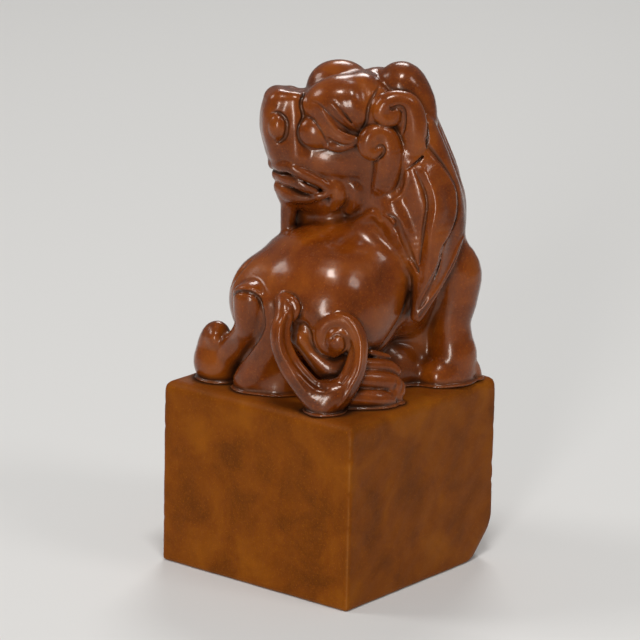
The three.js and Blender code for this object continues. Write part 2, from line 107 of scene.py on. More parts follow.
class Grid:
    """Evenly spaced samples in a box, and the reach round each form within which they are worked out."""

    def __init__(self, low, high, step, reach):
        self.low = np.array(low, float)
        self.step = step
        self.reach = reach
        self.size = np.ceil((np.array(high, float) - self.low) / step).astype(int) + 1

    def full(self):
        return np.full(self.size, FAR, np.float32)

    def window(self, low, high):
        """The slices that hold a box, or None if it lies outside the grid."""
        first = np.clip(np.floor((low - self.low) / self.step), 0, self.size).astype(int)
        last = np.clip(np.ceil((high - self.low) / self.step) + 1, 0, self.size).astype(int)
        if (last <= first).any():
            return None
        return tuple(slice(a, b) for a, b in zip(first, last))

    def whole(self):
        return tuple(slice(0, n) for n in self.size)

    def axes(self, window):
        """The coordinates along x, y and z in a window, shaped to spread over it."""
        x, y, z = (
            (self.low[i] + self.step * np.arange(window[i].start, window[i].stop)).astype(np.float32)
            for i in range(3)
        )
        return x[:, None, None], y[None, :, None], z[None, None, :]

    def sample(self, field, points):
        """The field at points, by trilinear interpolation."""
        at = np.clip((points - self.low) / self.step, 0, self.size - 1.001)
        i = at.astype(int)
        f = (at - i).astype(np.float32)
        x, y, z = i.T
        u, v, w = f.T
        value = 0
        for dx, wx in ((0, 1 - u), (1, u)):
            for dy, wy in ((0, 1 - v), (1, v)):
                for dz, wz in ((0, 1 - w), (1, w)):
                    value = value + field[x + dx, y + dy, z + dz] * wx * wy * wz
        return value

    def gradient(self, field, points, step=None):
        h = step or self.step
        columns = []
        for i in range(3):
            d = np.zeros(3)
            d[i] = h
            columns.append((self.sample(field, points + d) - self.sample(field, points - d)) / (2 * h))
        return np.stack(columns, 1)


def unit(v):
    return v / np.maximum(np.linalg.norm(v, axis=-1, keepdims=True), TINY)


def chain_distance(grid, path, margin):
    """Distance to a limb of round sections, in the window that holds it."""
    sizes = np.maximum(path[:-1, 3:4], path[1:, 3:4]) + margin
    lows = np.minimum(path[:-1, :3], path[1:, :3]) - sizes
    highs = np.maximum(path[:-1, :3], path[1:, :3]) + sizes
    window = grid.window(lows.min(0), highs.max(0))
    if window is None:
        return None, None
    out = np.full([s.stop - s.start for s in window], FAR, np.float32)
    for a, b in zip(path[:-1], path[1:]):
        size = max(a[3], b[3]) + margin
        part = grid.window(np.minimum(a, b)[:3] - size, np.maximum(a, b)[:3] + size)
        if part is None:
            continue
        x, y, z = grid.axes(part)
        d = b[:3] - a[:3]
        x, y, z = x - a[0], y - a[1], z - a[2]
        t = np.clip((x * d[0] + y * d[1] + z * d[2]) / max(d @ d, TINY), 0, 1)
        away = np.sqrt((x - t * d[0]) ** 2 + (y - t * d[1]) ** 2 + (z - t * d[2]) ** 2)
        inner = tuple(slice(p.start - w.start, p.stop - w.start) for p, w in zip(part, window))
        out[inner] = np.minimum(out[inner], away - (a[3] + t * (b[3] - a[3])))
    return window, out


def ball_distance(grid, centre, halves, turn, margin):
    """About the distance to an ellipsoid, turned round the vertical, in the window that holds it."""
    size = max(halves) + margin
    window = grid.window(np.array(centre) - size, np.array(centre) + size)
    if window is None:
        return None, None
    x, y, z = grid.axes(window)
    x, y, z = x - centre[0], y - centre[1], z - centre[2]
    cos, sin = math.cos(turn), math.sin(turn)
    x, y = x * cos + y * sin, y * cos - x * sin
    a, b, c = halves
    k0 = np.sqrt((x / a) ** 2 + (y / b) ** 2 + (z / c) ** 2)
    k1 = np.sqrt((x / a**2) ** 2 + (y / b**2) ** 2 + (z / c**2) ** 2)
    return window, k0 * (k0 - 1) / np.maximum(k1, 1e-6)


def soft_min(a, b, k):
    """The lesser of two distances, rounded over the width k where they meet."""
    h = np.maximum(k - np.abs(a - b), 0) / k
    return np.minimum(a, b) - h * h * (k / 4)


def soft_max(a, b, k):
    return -soft_min(-a, -b, k)


# The sculpture.
forms = []  # (group, kind, data, blend), joined in this order
details = []  # (kind, path, settings), cut into the surface in this order


def limb(group, stations, blend, steps=5):
    """A row of round sections, joined softly to what came before."""
    forms.append((group, "limb", smooth_path(stations, steps), blend))


def ball(group, centre, halves, blend, turn=0.0):
    """An ellipsoid, turned by degrees round the vertical."""
    forms.append((group, "ball", (centre, halves, math.radians(turn)), blend))


def head_ball(group, place, halves, blend, turn=0.0, side=1):
    """A ball whose centre is [forward, left, up] about the head."""
    ball(group, in_head([place], side)[0], halves, blend, turn)


def groove(stations, blend=0.15, sink=0.0):
    """A line cut into the surface."""
    details.append(("groove", smooth_path(stations), (blend, sink)))


def ridge(stations, blend=0.3, sink=0.0):
    """A line raised from the surface."""
    details.append(("ridge", smooth_path(stations), (blend, sink)))


def terrace(stations, edge=0.4, reach=1.6, flip=1):
    """One side of the line is raised by the stations' fourth value, and falls away from the line."""
    details.append(("terrace", smooth_path(stations), (edge, reach, flip)))


RIGHT_PAW, LEFT_PAW = -12.6, 9.7  # where the middles of the forepaws are along y
TOES = (-1.5, -0.5, 0.5, 1.5)
PAW_ROLLS = [
    [[-5.1, -10.6, 6.7, 0.5], [-3.8, -11.1, 6.2, 0.5], [-2.6, -11.6, 5.8, 0.4]],
    [[-6.2, -10.9, 5.4, 0.85], [-4.5, -11.7, 5.1, 0.9], [-3.2, -12.3, 4.7, 0.85], [-2.3, -12.8, 4, 0.7]],
    [
        [-7.7, -10.9, 3.7, 1.2], [-5.8, -12.1, 3.4, 1.3], [-4.2, -12.9, 3, 1.25], [-3.2, -13.4, 2.3, 1.15],
        [-3, -13.6, 1.5, 1],
    ],
    [[-9.3, -10.5, 1.4, 1.2], [-7.7, -11.9, 1.3, 1.3], [-6.1, -13.1, 1.1, 1.25], [-4.8, -13.6, 0.7, 0.95]],
    [[-4.3, -13.4, 1.6, 0.8], [-3.5, -13.7, 1, 0.75], [-3.3, -13.8, 0.5, 0.7]],
]


def add_trunk(g):
    """The barrel, the chest, the shoulders, the haunches and the neck."""
    ball(g, (-1.5, -0.5, 12.6), (11.6, 10.6, 9.4), 2.5)
    ball(g, (3.6, -3.6, 16.6), (7, 8, 7), 3)
    ball(g, (7.2, -7.6, 15.4), (4.8, 4.8, 5.6), 2)
    ball(g, (6.6, 5.4, 14.8), (5.2, 5, 5.8), 2)
    ball(g, (-3.6, -4.8, 11.4), (8.6, 6.6, 7.8), 1.6)
    ball(g, (-7.6, 4.8, 11.6), (5.3, 5.4, 6.3), 1.4)
    limb(g, [
        [5.2, -3.4, 15.4, 7], [6, -5.9, 21.5, 7], [5.7, -5.6, 27.5, 6.4], [4.2, -3.2, 33, 5.2],
    ], 1.5)


def add_forelegs(g):
    """The right foreleg with its knee and its round pad, the left one, and the toes of both."""
    limb(g, [
        [9.6, -9.8, 17.5, 3.6], [10.9, -12.1, 15.2, 3.45], [10.9, -12.4, 11.8, 3.05], [10.2, -12.2, 8.3, 2.7],
        [10.3, -12.4, 5.4, 2.85], [10.4, -12.5, 3.2, 3.3], [10, -12.4, 0.6, 3.1],
    ], 1.2)
    limb(g, [[7.8, -12.1, 0.8, 2.5], [10.8, -12.4, 1.2, 2.8]], 1)
    limb(g, [
        [9.4, 6.6, 17.5, 3.6], [10.4, 8.6, 15, 3.5], [10.2, 9, 11, 3.1], [10, 9.4, 7.8, 2.7],
        [10.2, 9.6, 4, 3], [10.2, 9.6, 0.4, 3.2],
    ], 1.2)
    for paw in (RIGHT_PAW, LEFT_PAW):
        for side in TOES:
            lift = 0.3 if abs(side) < 1 else 0
            limb(g, [
                [10.8, paw + side * 1.2, 2.6 + lift, 0.9], [12.1, paw + side * 1.3, 1.8 + lift, 1],
                [12.9, paw + side * 1.35, 0.6, 0.85]
            ], 0.3)


def add_right_hind_leg(g):
    """The hock shows inside the tail's loop, and the paw, a scroll of five rolls, lies to the right of it."""
    limb(g, [
        [-11.7, -4.1, 9, 1.5], [-11.1, -5.2, 7.2, 1.3], [-10.4, -6.4, 5.8, 1.6], [-9.6, -7.7, 4.9, 1.8],
        [-8.8, -8.4, 5.4, 1.5],
    ], 0.4)
    limb(g, [[-8.4, -7.6, 3.6, 2.2], [-5, -8.6, 3, 2.3], [-3.2, -9.6, 2.6, 2]], 0.5)
    for roll in PAW_ROLLS:
        limb(g, roll, 0.18)


def add_left_hind_leg(g):
    """The leg, its boot-like foot, its knob and its toes."""
    limb(g, [
        [-12.6, 3.7, 12.9, 2.5], [-12.6, 3.7, 11.4, 2.45], [-12.4, 4.2, 9.2, 2.05], [-11.5, 6.1, 6.7, 1.85],
        [-10.9, 8.3, 4.6, 2.1], [-10.6, 9.6, 3.2, 2.3],
    ], 0.6)
    limb(g, [
        [-10.6, 10.7, 1.6, 2.7], [-10.5, 11.5, 2.6, 2.8], [-10.5, 11.6, 4.3, 2.5], [-10.9, 11.1, 5.9, 2],
        [-11, 10.9, 6.6, 1.5],
    ], 0.9)
    limb(g, [[-10.5, 11.4, 2, 2.8], [-8.2, 11.6, 1.6, 2.6]], 0.9)
    ball(g, (-12.1, 10.3, 6), (1.15, 1.15, 1.3), 0.5)
    for side in TOES:
        limb(g, [
            [-8.4, 11.6 + side * 1.3, 3, 1], [-6.2, 11.8 + side * 1.45, 2, 1.05],
            [-5, 11.8 + side * 1.5, 0.7, 0.85],
        ], 0.35)


def add_stone_beneath(g):
    """The stone under the rump and the belly, and what closes the belly behind the mane's tip."""
    limb(g, [
        [-11.6, 0.7, 12.6, 2], [-11.6, 0.7, 9.2, 2.2], [-11.4, 1.6, 6.3, 2.3], [-11.2, 3.2, 3.6, 2.4],
        [-11.1, 4.6, 1.2, 2.6],
    ], 0.5)
    limb(g, [[-9, 1.8, 5.8, 3], [-8.4, 2.2, 2.2, 3.8], [-8.4, 2.4, 0, 4.2]], 1.2)
    ball(g, (1.5, 0, 3.4), (7.5, 5.6, 5.4), 1.2)
    ball(g, (4.9, -6.2, 1.4), (4.4, 4.2, 4.4), 2.2)
    ball(g, (9.2, -5.6, 5.4), (4.3, 4.8, 8.4), 1.6)
    ball(g, (5.2, -7.8, 11.4), (4.2, 3.8, 4.6), 2)


def carve_body_lines():
    """The hook over the left knee, the flank, the far haunch, the hock, the paw and a fold of the neck."""
    hook = [
        [-13.2, 4.8, 12.9, 0.1], [-13.6, 4.3, 13.5, 0.26], [-13.8, 3.3, 13.9, 0.32], [-13.7, 2.4, 13.9, 0.34],
        [-13.5, 1.5, 13.4, 0.34], [-13.5, 0.9, 12.3, 0.34], [-13.7, 0.7, 10.9, 0.36], [-13.5, 1.1, 9.2, 0.42],
        [-12.8, 2.3, 7, 0.5], [-12.3, 3.9, 5.2, 0.55], [-12.2, 5.6, 3.6, 0.55], [-12.3, 7, 1.2, 0.5],
    ]
    groove(hook, 0.22)
    terrace([*hook[:6], [-13.7, 0.7, 10.9, 0.1]], 0.35, 1.2)
    groove([
        [2.2, -10, 13.6, 0.05], [0.8, -9.2, 11.4, 0.28], [-1.2, -8.9, 9.1, 0.3], [-2.9, -8.4, 7.4, 0.1],
    ], 0.8)
    groove([
        [-10.9, 8.9, 13.2, 0.05], [-11.2, 8, 14.6, 0.25], [-10.9, 7.2, 16.2, 0.25], [-10.2, 6.6, 17.6, 0.05],
    ], 0.6)
    groove([
        [-13.2, -4.9, 6.9, 0.3], [-13.4, -4.4, 7.1, 0.3], [-13.6, -3.9, 8.4, 0.3], [-13.5, -3.8, 9.9, 0.3],
        [-13.1, -4.1, 10.8, 0.3], [-12.6, -4.8, 11.2, 0.3], [-12.1, -5.4, 10.8, 0.3], [-11.8, -5.9, 9.8, 0.2],
    ], 0.2)
    groove([
        [-13.4, -4.4, 7.1, 0.3], [-12.8, -5.4, 6.1, 0.35], [-12.4, -6.3, 4.7, 0.4], [-11.8, -7.3, 3.6, 0.4],
        [-11.1, -8.4, 3.4, 0.4], [-10.3, -9.4, 3.8, 0.3],
    ], 0.25)
    groove([[-4.8, -14, 1.5, 0.1], [-4.3, -14.2, 2.4, 0.24], [-3.9, -14, 3.4, 0.1]], 0.15)
    groove([[-3.7, -14.3, 1.2, 0.1], [-3.3, -14.4, 2, 0.24], [-2.9, -14, 2.9, 0.1]], 0.15)
    ridge([
        [-1, -4.8, 22.6, 0.1], [-0.5, -5.8, 23.2, 0.35], [-0.4, -7.2, 24.2, 0.4], [-0.4, -8.2, 23.6, 0.15],
    ], 0.8)


def build_body():
    for add in (add_trunk, add_forelegs, add_right_hind_leg, add_left_hind_leg, add_stone_beneath):
        add("body")
    carve_body_lines()


def build_tail():
    """The strand from the rump, the strand that winds into a scroll, and the root."""
    g = "tail"
    limb(g, [
        [-13.1, -2.2, 13.7, 1.3], [-13.9, -2.9, 12.9, 1.35], [-14.6, -3.3, 12, 1.3],
        [-15.2, -3.4, 11, 1.3], [-15.5, -3.6, 9.5, 1.35], [-15.5, -4.1, 7.9, 1.4], [-15.1, -5, 6, 1.5],
        [-14.5, -6.3, 4.2, 1.65], [-13.8, -7.6, 2.5, 1.85], [-12.8, -9, 0.9, 2.15],
    ], 0.3)
    limb(g, [
        [-12.8, -9, 0.9, 2.15], [-11.7, -10.2, 2.2, 1.9], [-10.6, -11.1, 3.8, 1.6],
        [-9.8, -11.6, 5.6, 1.45], [-9.3, -11.7, 7.5, 1.35], [-9, -11.5, 9.1, 1.3],
        [-9.1, -10.9, 10.6, 1.25], [-9.4, -10, 11.6, 1.2], [-9.9, -8.8, 11.9, 1.2],
        [-10.5, -7.7, 11.5, 1.2], [-11, -7, 10.5, 1.2], [-11, -6.9, 9.2, 1.2], [-10.7, -7.5, 8.2, 1.15],
        [-10.2, -8.4, 7.9, 1.1],
    ], 0.3)
    ball(g, (-12.2, -9.2, 1.9), (2.3, 2.3, 2.4), 0.8)
    ball(g, (-10, -9.1, 9.4), (1.9, 1.9, 2), 0.4)
    limb(g, [
        [-12.7, -1.6, 14.4, 0.3], [-13.1, -2.4, 14.5, 0.5], [-13.1, -3.4, 14.3, 0.6],
        [-13, -4.1, 13.5, 0.6], [-13.2, -4.2, 12.5, 0.5], [-13.4, -4, 11.6, 0.3],
    ], 0.3)
    # The volute, the flat inner face of each strand and its raised rim.
    groove([
        [-11.8, -9, 9.4, 0.06], [-11.7, -9.2, 9.9, 0.2], [-11.4, -9.6, 10.3, 0.24],
        [-11, -10.2, 10.3, 0.24], [-10.6, -10.7, 9.8, 0.24], [-10.5, -10.8, 9, 0.22],
        [-10.6, -10.4, 8.2, 0.16], [-10.7, -9.8, 7.8, 0.08],
    ], 0.12)
    ridge([
        [-11, -9.4, 13.2, 0.05], [-10.3, -11, 12.7, 0.16], [-9.9, -11.9, 11.3, 0.2],
        [-9.8, -12.5, 9.7, 0.2], [-10, -12.7, 7.8, 0.2], [-10.4, -12.7, 5.9, 0.2], [-11.2, -12.2, 4.1, 0.2],
        [-12.1, -11.7, 2.5, 0.16], [-13, -11.2, 1.2, 0.05],
    ], 0.35)
    ridge([
        [-14.9, -4.2, 13.1, 0.05], [-15.9, -4, 11.7, 0.18], [-16.4, -4.1, 10, 0.2],
        [-16.5, -4.6, 8.2, 0.2], [-16.1, -5.6, 6.4, 0.2], [-15.6, -6.6, 4.7, 0.18], [-15.1, -7.8, 3.1, 0.05],
    ], 0.35)
    groove([
        [-14.9, -4.6, 12.3, 0.08], [-15.5, -4.7, 10.9, 0.3], [-15.7, -5, 9.4, 0.4], [-15.5, -5.8, 7.6, 0.4],
        [-15, -7.1, 5.6, 0.35], [-14.2, -8.5, 4, 0.3], [-13.4, -9.7, 3.2, 0.08],
    ], 0.7)
    groove([
        [-11, -11.2, 9.6, 0.08], [-10.9, -11.6, 7.6, 0.3], [-11.3, -11.6, 5.8, 0.3],
        [-12, -11.2, 4.2, 0.08],
    ], 0.7)


def add_skull(g):
    """The skull, the bridge of the nose and the domes of the brows, of which the far one is set back."""
    head_ball(g, (-0.6, 0, 1.4), (7, 5.9, 6.6), 1.5, HEAD_TURN)
    limb(g, in_head([[3, 0, 2, 4.2], [7.2, 0, 3, 2.8], [9, 0, 3.3, 2.2]]), 1)
    head_ball(g, (1.8, 2.8, 4.3), (5.2, 4, 4), 0.9, HEAD_TURN)
    head_ball(g, (-0.8, 2.7, 4.8), (3.1, 3.6, 3.8), 0.9, HEAD_TURN)
    head_ball(g, (1.4, -2.7, 5), (4.5, 4, 4.1), 0.6, HEAD_TURN)


def add_face(g, at, side):
    """One side of the muzzle, the jaw, the cheek, the nose with its wing, the eye and its lids."""
    # The muzzle and the jaw.
    limb(g, at([
        [-1.5, 1.6, -3, 4.3], [3, 1.5, -3, 3.9], [6, 1, -2.4, 3.3], [8.2, 0.4, -2, 2.8],
    ]), 1.2, steps=14)
    limb(g, at([
        [1, 0.8, -7.6, 3.2], [5, 0.6, -8, 2.7], [7.6, 0.5, -7.8, 2.1], [8.4, 0.5, -8.2, 1.5],
    ]), 0.8)
    # The cheek and the temple.
    head_ball(g, (-5.2, 4.4, -1.2), (3.2, 3.2, 4), 1.2, side=side)
    head_ball(g, (-2.3, 4.9, 3.6), (2.6, 2.6, 3.2), 1, side=side)
    # The bulb of the nose with its wing.
    limb(g, at([
        [9.9, 0.9, 4.2, 1.95], [10.2, 0.9, 2.4, 2.05], [10.2, 0.9, 0.2, 2], [9.4, 0.9, -2.3, 1.85],
        [9, 0.9, -3.6, 1.4],
    ]), 0.9)
    head_ball(g, (10.35, 2.1, 1.4), (1.35, 1.6, 1.95), 0.1, HEAD_TURN, side)
    limb(g, at([
        [8.1, 2, 4.6, 1.2], [8.1, 2.4, 2.4, 1.4], [7.9, 2.7, -0.6, 1.5], [7.8, 2.9, -2.4, 1.4],
    ]), 1.1)
    # The eye, and the rolls of the lids.
    head_ball(g, (5.1, 3.8, 0.9), (2.9, 1.95, 2.5), 0.1, HEAD_TURN, side)
    limb(g, at([
        [6.7, 2.8, 4.4, 0.9], [5.8, 3.6, 3.9, 1.15], [4.8, 4.3, 3.3, 1.2], [4, 4.9, 2.3, 1.2],
        [3.2, 5.3, 1.2, 1.1], [2, 5.8, 0.4, 0.95], [0.6, 6.2, 0.3, 0.6],
    ]), 0.45)
    limb(g, at([[3.9, 5.1, -0.6, 0.6], [2.7, 5.5, -0.7, 0.8], [1.1, 5.9, -0.3, 0.6]]), 0.5)


def add_mouth(g, at):
    """The lips, which curl round the corner of the mouth, what fills it, and the tufts behind it."""
    limb(g, at([
        [10.3, 0, -4.2, 0.8], [9.8, 1.9, -4.1, 0.8], [8.8, 3.1, -3.9, 0.85], [7.6, 3.7, -4.5, 0.85],
        [6, 4.1, -5.3, 0.8], [4.7, 4.4, -5.9, 0.75], [3.9, 4.6, -6.7, 0.7], [4.3, 4.6, -7.4, 0.6],
        [5.2, 4.4, -7.6, 0.5],
    ]), 0.35)
    limb(g, at([
        [9.4, 0, -7.3, 0.75], [9.1, 1.1, -7.4, 0.75], [8.5, 1.9, -7.8, 0.8], [7.8, 2.5, -8.1, 0.8],
        [6.9, 3, -8.2, 0.75], [6, 3.4, -8.1, 0.7], [5.2, 3.9, -7.8, 0.55],
    ]), 0.8)
    limb(g, at([
        [9.7, 0, -5.7, 0.95], [9.1, 1.6, -5.7, 1], [7.9, 2.9, -5.9, 1], [6.7, 3.6, -6.5, 0.9],
        [5.6, 4, -6.9, 0.7],
    ]), 0.15)
    # The tufts.
    limb(g, at([
        [3.7, 3.9, -5.6, 0.7], [2.8, 4.1, -6.4, 1.1], [2.4, 4, -7.6, 1.3], [2.8, 3.4, -9, 1],
    ]), 0.6)
    limb(g, at([
        [1.2, 4.2, -5.8, 0.8], [0.2, 4.3, -6.8, 1.2], [0, 4, -8.2, 1.3], [0.5, 3.3, -9.6, 1],
    ]), 0.6)


def carve_face(at):
    """The mouth, the wing of the nose, the socket of the eye and the folds of the brow."""
    groove(at([
        [10.2, 0, -5.1, 0.16], [9.6, 1.5, -5.1, 0.17], [8.6, 2.6, -5.1, 0.17], [7, 3.6, -5.8, 0.16],
        [5.6, 4.2, -6.6, 0.12], [5, 4.5, -7, 0.06],
    ]), 0.15)
    groove(at([
        [11.4, 2.2, 2.9, 0.05], [11.1, 2.8, 3.4, 0.16], [10.2, 3.1, 3.3, 0.26], [9.3, 3.1, 2.3, 0.3],
        [9.2, 3.1, 1.2, 0.3], [9.6, 3.1, 0, 0.26], [10.4, 3, -0.7, 0.16], [10.9, 2.8, -0.4, 0.06],
    ]), 0.12)
    groove(at([
        [6.9, 1.6, 6, 0.08], [7, 2.4, 5.2, 0.22], [7.1, 2.9, 4.4, 0.26], [7.3, 3.3, 3.2, 0.24],
        [7.4, 3.4, 2.2, 0.2], [7.4, 3.6, 0.6, 0.18], [6.8, 4.2, -0.7, 0.18], [5.5, 4.7, -1.2, 0.18],
        [3.9, 5.1, -1.2, 0.16], [2, 5.5, -1.2, 0.14], [0.4, 5.9, -0.8, 0.08],
    ]), 0.1)
    groove(at([
        [6.8, 3.8, 3.1, 0.06], [6, 4.8, 2.8, 0.14], [5.1, 5.3, 1.4, 0.16], [4.2, 5.4, -0.2, 0.14],
        [3.8, 5.4, -0.8, 0.06],
    ]), 0.1)
    ridge(at([
        [1.2, 5.8, 7.6, 0.3], [0.9, 6.1, 5.6, 0.8], [0.6, 6.3, 3.8, 0.8], [0.1, 6.4, 2.2, 0.5],
    ]), 1.2, 0.5)
    groove(at([
        [6.6, 4.6, 5.3, 0.05], [5.3, 5.2, 5, 0.14], [4, 5.6, 4, 0.16], [2.8, 5.9, 2.8, 0.16],
        [1.6, 6.1, 1.6, 0.15], [0.6, 6.3, 0.8, 0.08],
    ]), 0.15)
    groove(at([
        [3.5, 5.5, 5.5, 0.05], [2.3, 5.9, 4.2, 0.14], [1.4, 6.1, 3, 0.16], [0.5, 6.3, 1.9, 0.1],
    ]), 0.15)
    ridge(at([
        [4, 5.3, 5.2, 0.05], [3.1, 5.6, 4.5, 0.18], [2.1, 5.9, 3.4, 0.2], [1.1, 6.1, 2.3, 0.2],
        [0.5, 6.3, 1.6, 0.12],
    ]), 0.2)
    ridge(at([
        [4.8, 5.4, 4.2, 0.08], [4, 5.6, 2.9, 0.22], [3.3, 5.8, 1.6, 0.24], [2.1, 6.1, 0.8, 0.22],
        [0.7, 6.3, 0.4, 0.12],
    ]), 0.3)
    groove(at([
        [4.5, 5.5, 0.7, 0.05], [3.4, 5.9, 0.1, 0.15], [2, 6.2, -0.2, 0.15], [0.8, 6.5, 0.2, 0.05],
    ]), 0.15)
    groove(at([
        [-2.4, 4.6, 7, 0.05], [-1.9, 5.6, 6, 0.18], [-1.2, 6.2, 4.8, 0.2], [-1, 6.4, 3, 0.18],
        [0.2, 6.6, 1.8, 0.08],
    ]), 0.2)


def add_ear(at, side):
    """The scroll of the ear, and below it the curl of the cheek."""
    hand = "left" if side > 0 else "right"
    ear, curl = f"{hand}_ear", f"{hand}_side_curl"
    limb(ear, at([
        [-6.3, 6.9, -3.2, 0.5], [-6.6, 7, -2, 1], [-6.9, 7, -0.4, 1.45], [-7.1, 7, 1.4, 1.6],
        [-7, 6.9, 3.4, 1.6], [-6.2, 6.8, 5.1, 1.5], [-4.6, 6.8, 5.7, 1.35], [-3.1, 6.9, 5.3, 1.3],
        [-2.4, 7, 4.2, 1.2], [-3, 7.1, 3.3, 1.15], [-4, 7.1, 3.4, 1.1], [-4.3, 7.1, 4.1, 1],
    ]), 0.2, steps=4)
    head_ball(ear, (-3.6, 6.6, 4.2), (1.5, 1.5, 1.5), 0.3, side=side)
    limb(ear, at([[-5.9, 6, 3.6, 1.5], [-6.2, 6.2, 1.2, 1.7], [-6.4, 6.2, -1, 1.3]]), 0.7)
    limb(curl, at([
        [-2.7, 5.6, -7.6, 0.9], [-3.4, 6.4, -5.5, 1.75], [-3.8, 6.7, -3, 2], [-3.8, 6.9, -0.7, 1.85],
        [-3.2, 7, 1, 1.5], [-1.9, 7.1, 1.5, 1.35], [-0.9, 7.2, 0.8, 1.3], [-0.7, 7.2, -0.4, 1.25],
        [-1.3, 7.3, -1.1, 1.2], [-2, 7.3, -0.8, 1.1],
    ]), 0.2, steps=4)
    head_ball(curl, (-1.9, 6.8, 0.2), (1.5, 1.5, 1.5), 0.3, side=side)
    groove(at([
        [-3.5, 8, 5.2, 0.1], [-3.8, 8.1, 4.8, 0.26], [-4.7, 8.1, 5.1, 0.26], [-5.4, 7.9, 4.9, 0.2],
        [-5.7, 7.8, 3.6, 0.2], [-5.6, 7.8, 2.2, 0.2], [-5.3, 7.8, 1.4, 0.1],
    ]), 0.12)
    groove(at([
        [-1.5, 8.3, -2.4, 0.05], [-2.3, 8.4, -1.7, 0.22], [-2.8, 8.5, -0.7, 0.24], [-2.4, 8.5, 0, 0.22],
        [-1.8, 8.5, -0.2, 0.18], [-1.6, 8.5, -0.6, 0.08],
    ]), 0.12)
    groove(at([
        [-8.3, 6.6, 4.6, 0.05], [-8.8, 6.8, 2.6, 0.2], [-8.6, 7, 0.2, 0.24], [-7.8, 7.2, -1.8, 0.24],
        [-6.6, 7.3, -3.4, 0.1],
    ]), 0.2)


def add_beard(g):
    """The thin web that joins the chin to the chest, and the stone behind it."""
    limb(g, in_head([
        [8.3, 0.3, -9.3, 1.15], [8.4, 0.3, -11.2, 1.1], [8.4, 0.3, -13.4, 1], [8.1, 0.2, -16.4, 0.9],
    ]), 0.6)
    limb(g, in_head([[5, -1, -9.4, 2.3], [4.6, -1, -11.6, 2.3], [4.4, -0.8, -15.4, 2.8]]), 0.7)
    limb(g, in_head([[6.8, -2.2, -8.8, 2], [6.4, -2.2, -12, 2], [6.2, -2, -15.5, 2.2]]), 0.7)
    limb(g, in_head([[3, 0.4, -8.6, 2.8], [2.6, 0.2, -11.2, 2.8], [2.4, 0.4, -14, 3]]), 0.9)


def build_head():
    add_skull("head")
    for side in (1, -1):
        def at(stations):
            return in_head(stations, side)

        add_face("head", at, side)
        add_mouth("head", at)
        carve_face(at)
        add_ear(at, side)
    add_beard("head")


MANE_MASS = [  # the locks of one side, as stations in the mane
    [[-5.2, 5, -7.5, 2], [-6.4, 6, -10.6, 2.2], [-8, 6.6, -14.3, 1.5], [-9.4, 7.1, -17.5, 0.8],
     [-9.6, 7.4, -20, 0.4]],
    [[-7.6, 4.7, -2, 2.4], [-9.2, 5.2, -6, 2.8], [-10.2, 5.5, -10, 2.9], [-10.3, 5.9, -14, 2.4],
     [-10.3, 6.5, -18, 1.45], [-9.5, 7.2, -21.5, 0.7], [-9.1, 7.5, -23.2, 0.35]],
    [[-9.2, 3.4, 1.5, 1.9], [-11, 3.6, -3.5, 2.3], [-12.3, 3.4, -8, 2.6], [-12.8, 3.4, -12, 2.5],
     [-12.2, 4.2, -15.5, 2.2], [-10.9, 5.6, -18.8, 1.7], [-9.9, 6.9, -21.8, 0.9], [-9.1, 7.5, -23.4, 0.4]],
]


# The lines where one lock lies over the next: the broad bevel, two crisp edges and the front one.
MANE_BEVEL = [
    [-8, 7.2, -2.4, 0.02], [-8.4, 7.5, -3.2, 0.4], [-9, 7.7, -4.4, 0.9], [-9.9, 8.1, -6.5, 1.15],
    [-10.1, 8.3, -8.3, 1.2], [-9.8, 8.3, -10.5, 1.2], [-9.6, 8.3, -13, 1.1], [-9.4, 8.3, -15.4, 0.95],
    [-9.2, 8.4, -17.3, 0.6], [-9.2, 8.4, -18.7, 0.05],
]
MANE_BACK = [
    [-9.3, 6.3, 0.6, 0.05], [-10, 6.2, -0.6, 0.2], [-11.1, 6.2, -1.9, 0.24], [-12.4, 6, -3.6, 0.26],
    [-13.6, 5.6, -5.8, 0.28], [-13.9, 5.6, -8.1, 0.28], [-13.6, 6, -10.2, 0.28], [-12.7, 6.9, -11.9, 0.28],
    [-11.7, 7.8, -13.4, 0.28], [-11.4, 7.8, -15.6, 0.26], [-10.8, 7.9, -17.4, 0.24],
    [-10, 8.1, -19.6, 0.2], [-9.3, 8.3, -21.2, 0.12], [-9, 8.3, -22.8, 0.05],
]
MANE_REAR = [
    [-15.2, 1.6, -11.6, 0.05], [-14.9, 4.1, -12.9, 0.2], [-14.3, 5.3, -14.3, 0.24], [-13.4, 5.9, -16.3, 0.24],
    [-12.3, 6.7, -18.3, 0.24], [-10.9, 7.6, -20.5, 0.2], [-9.6, 8.1, -22.2, 0.12], [-9, 8.3, -23.1, 0.05],
]
MANE_FRONT = [
    [-4.4, 7.2, -9.4, 0.05], [-5.4, 7.8, -9.7, 0.2], [-6.1, 8.1, -10.8, 0.22], [-6.6, 8.2, -12.6, 0.22],
    [-7.5, 8.4, -14.6, 0.2], [-8.4, 8.4, -16.4, 0.16], [-9.1, 8.4, -17.8, 0.05],
]


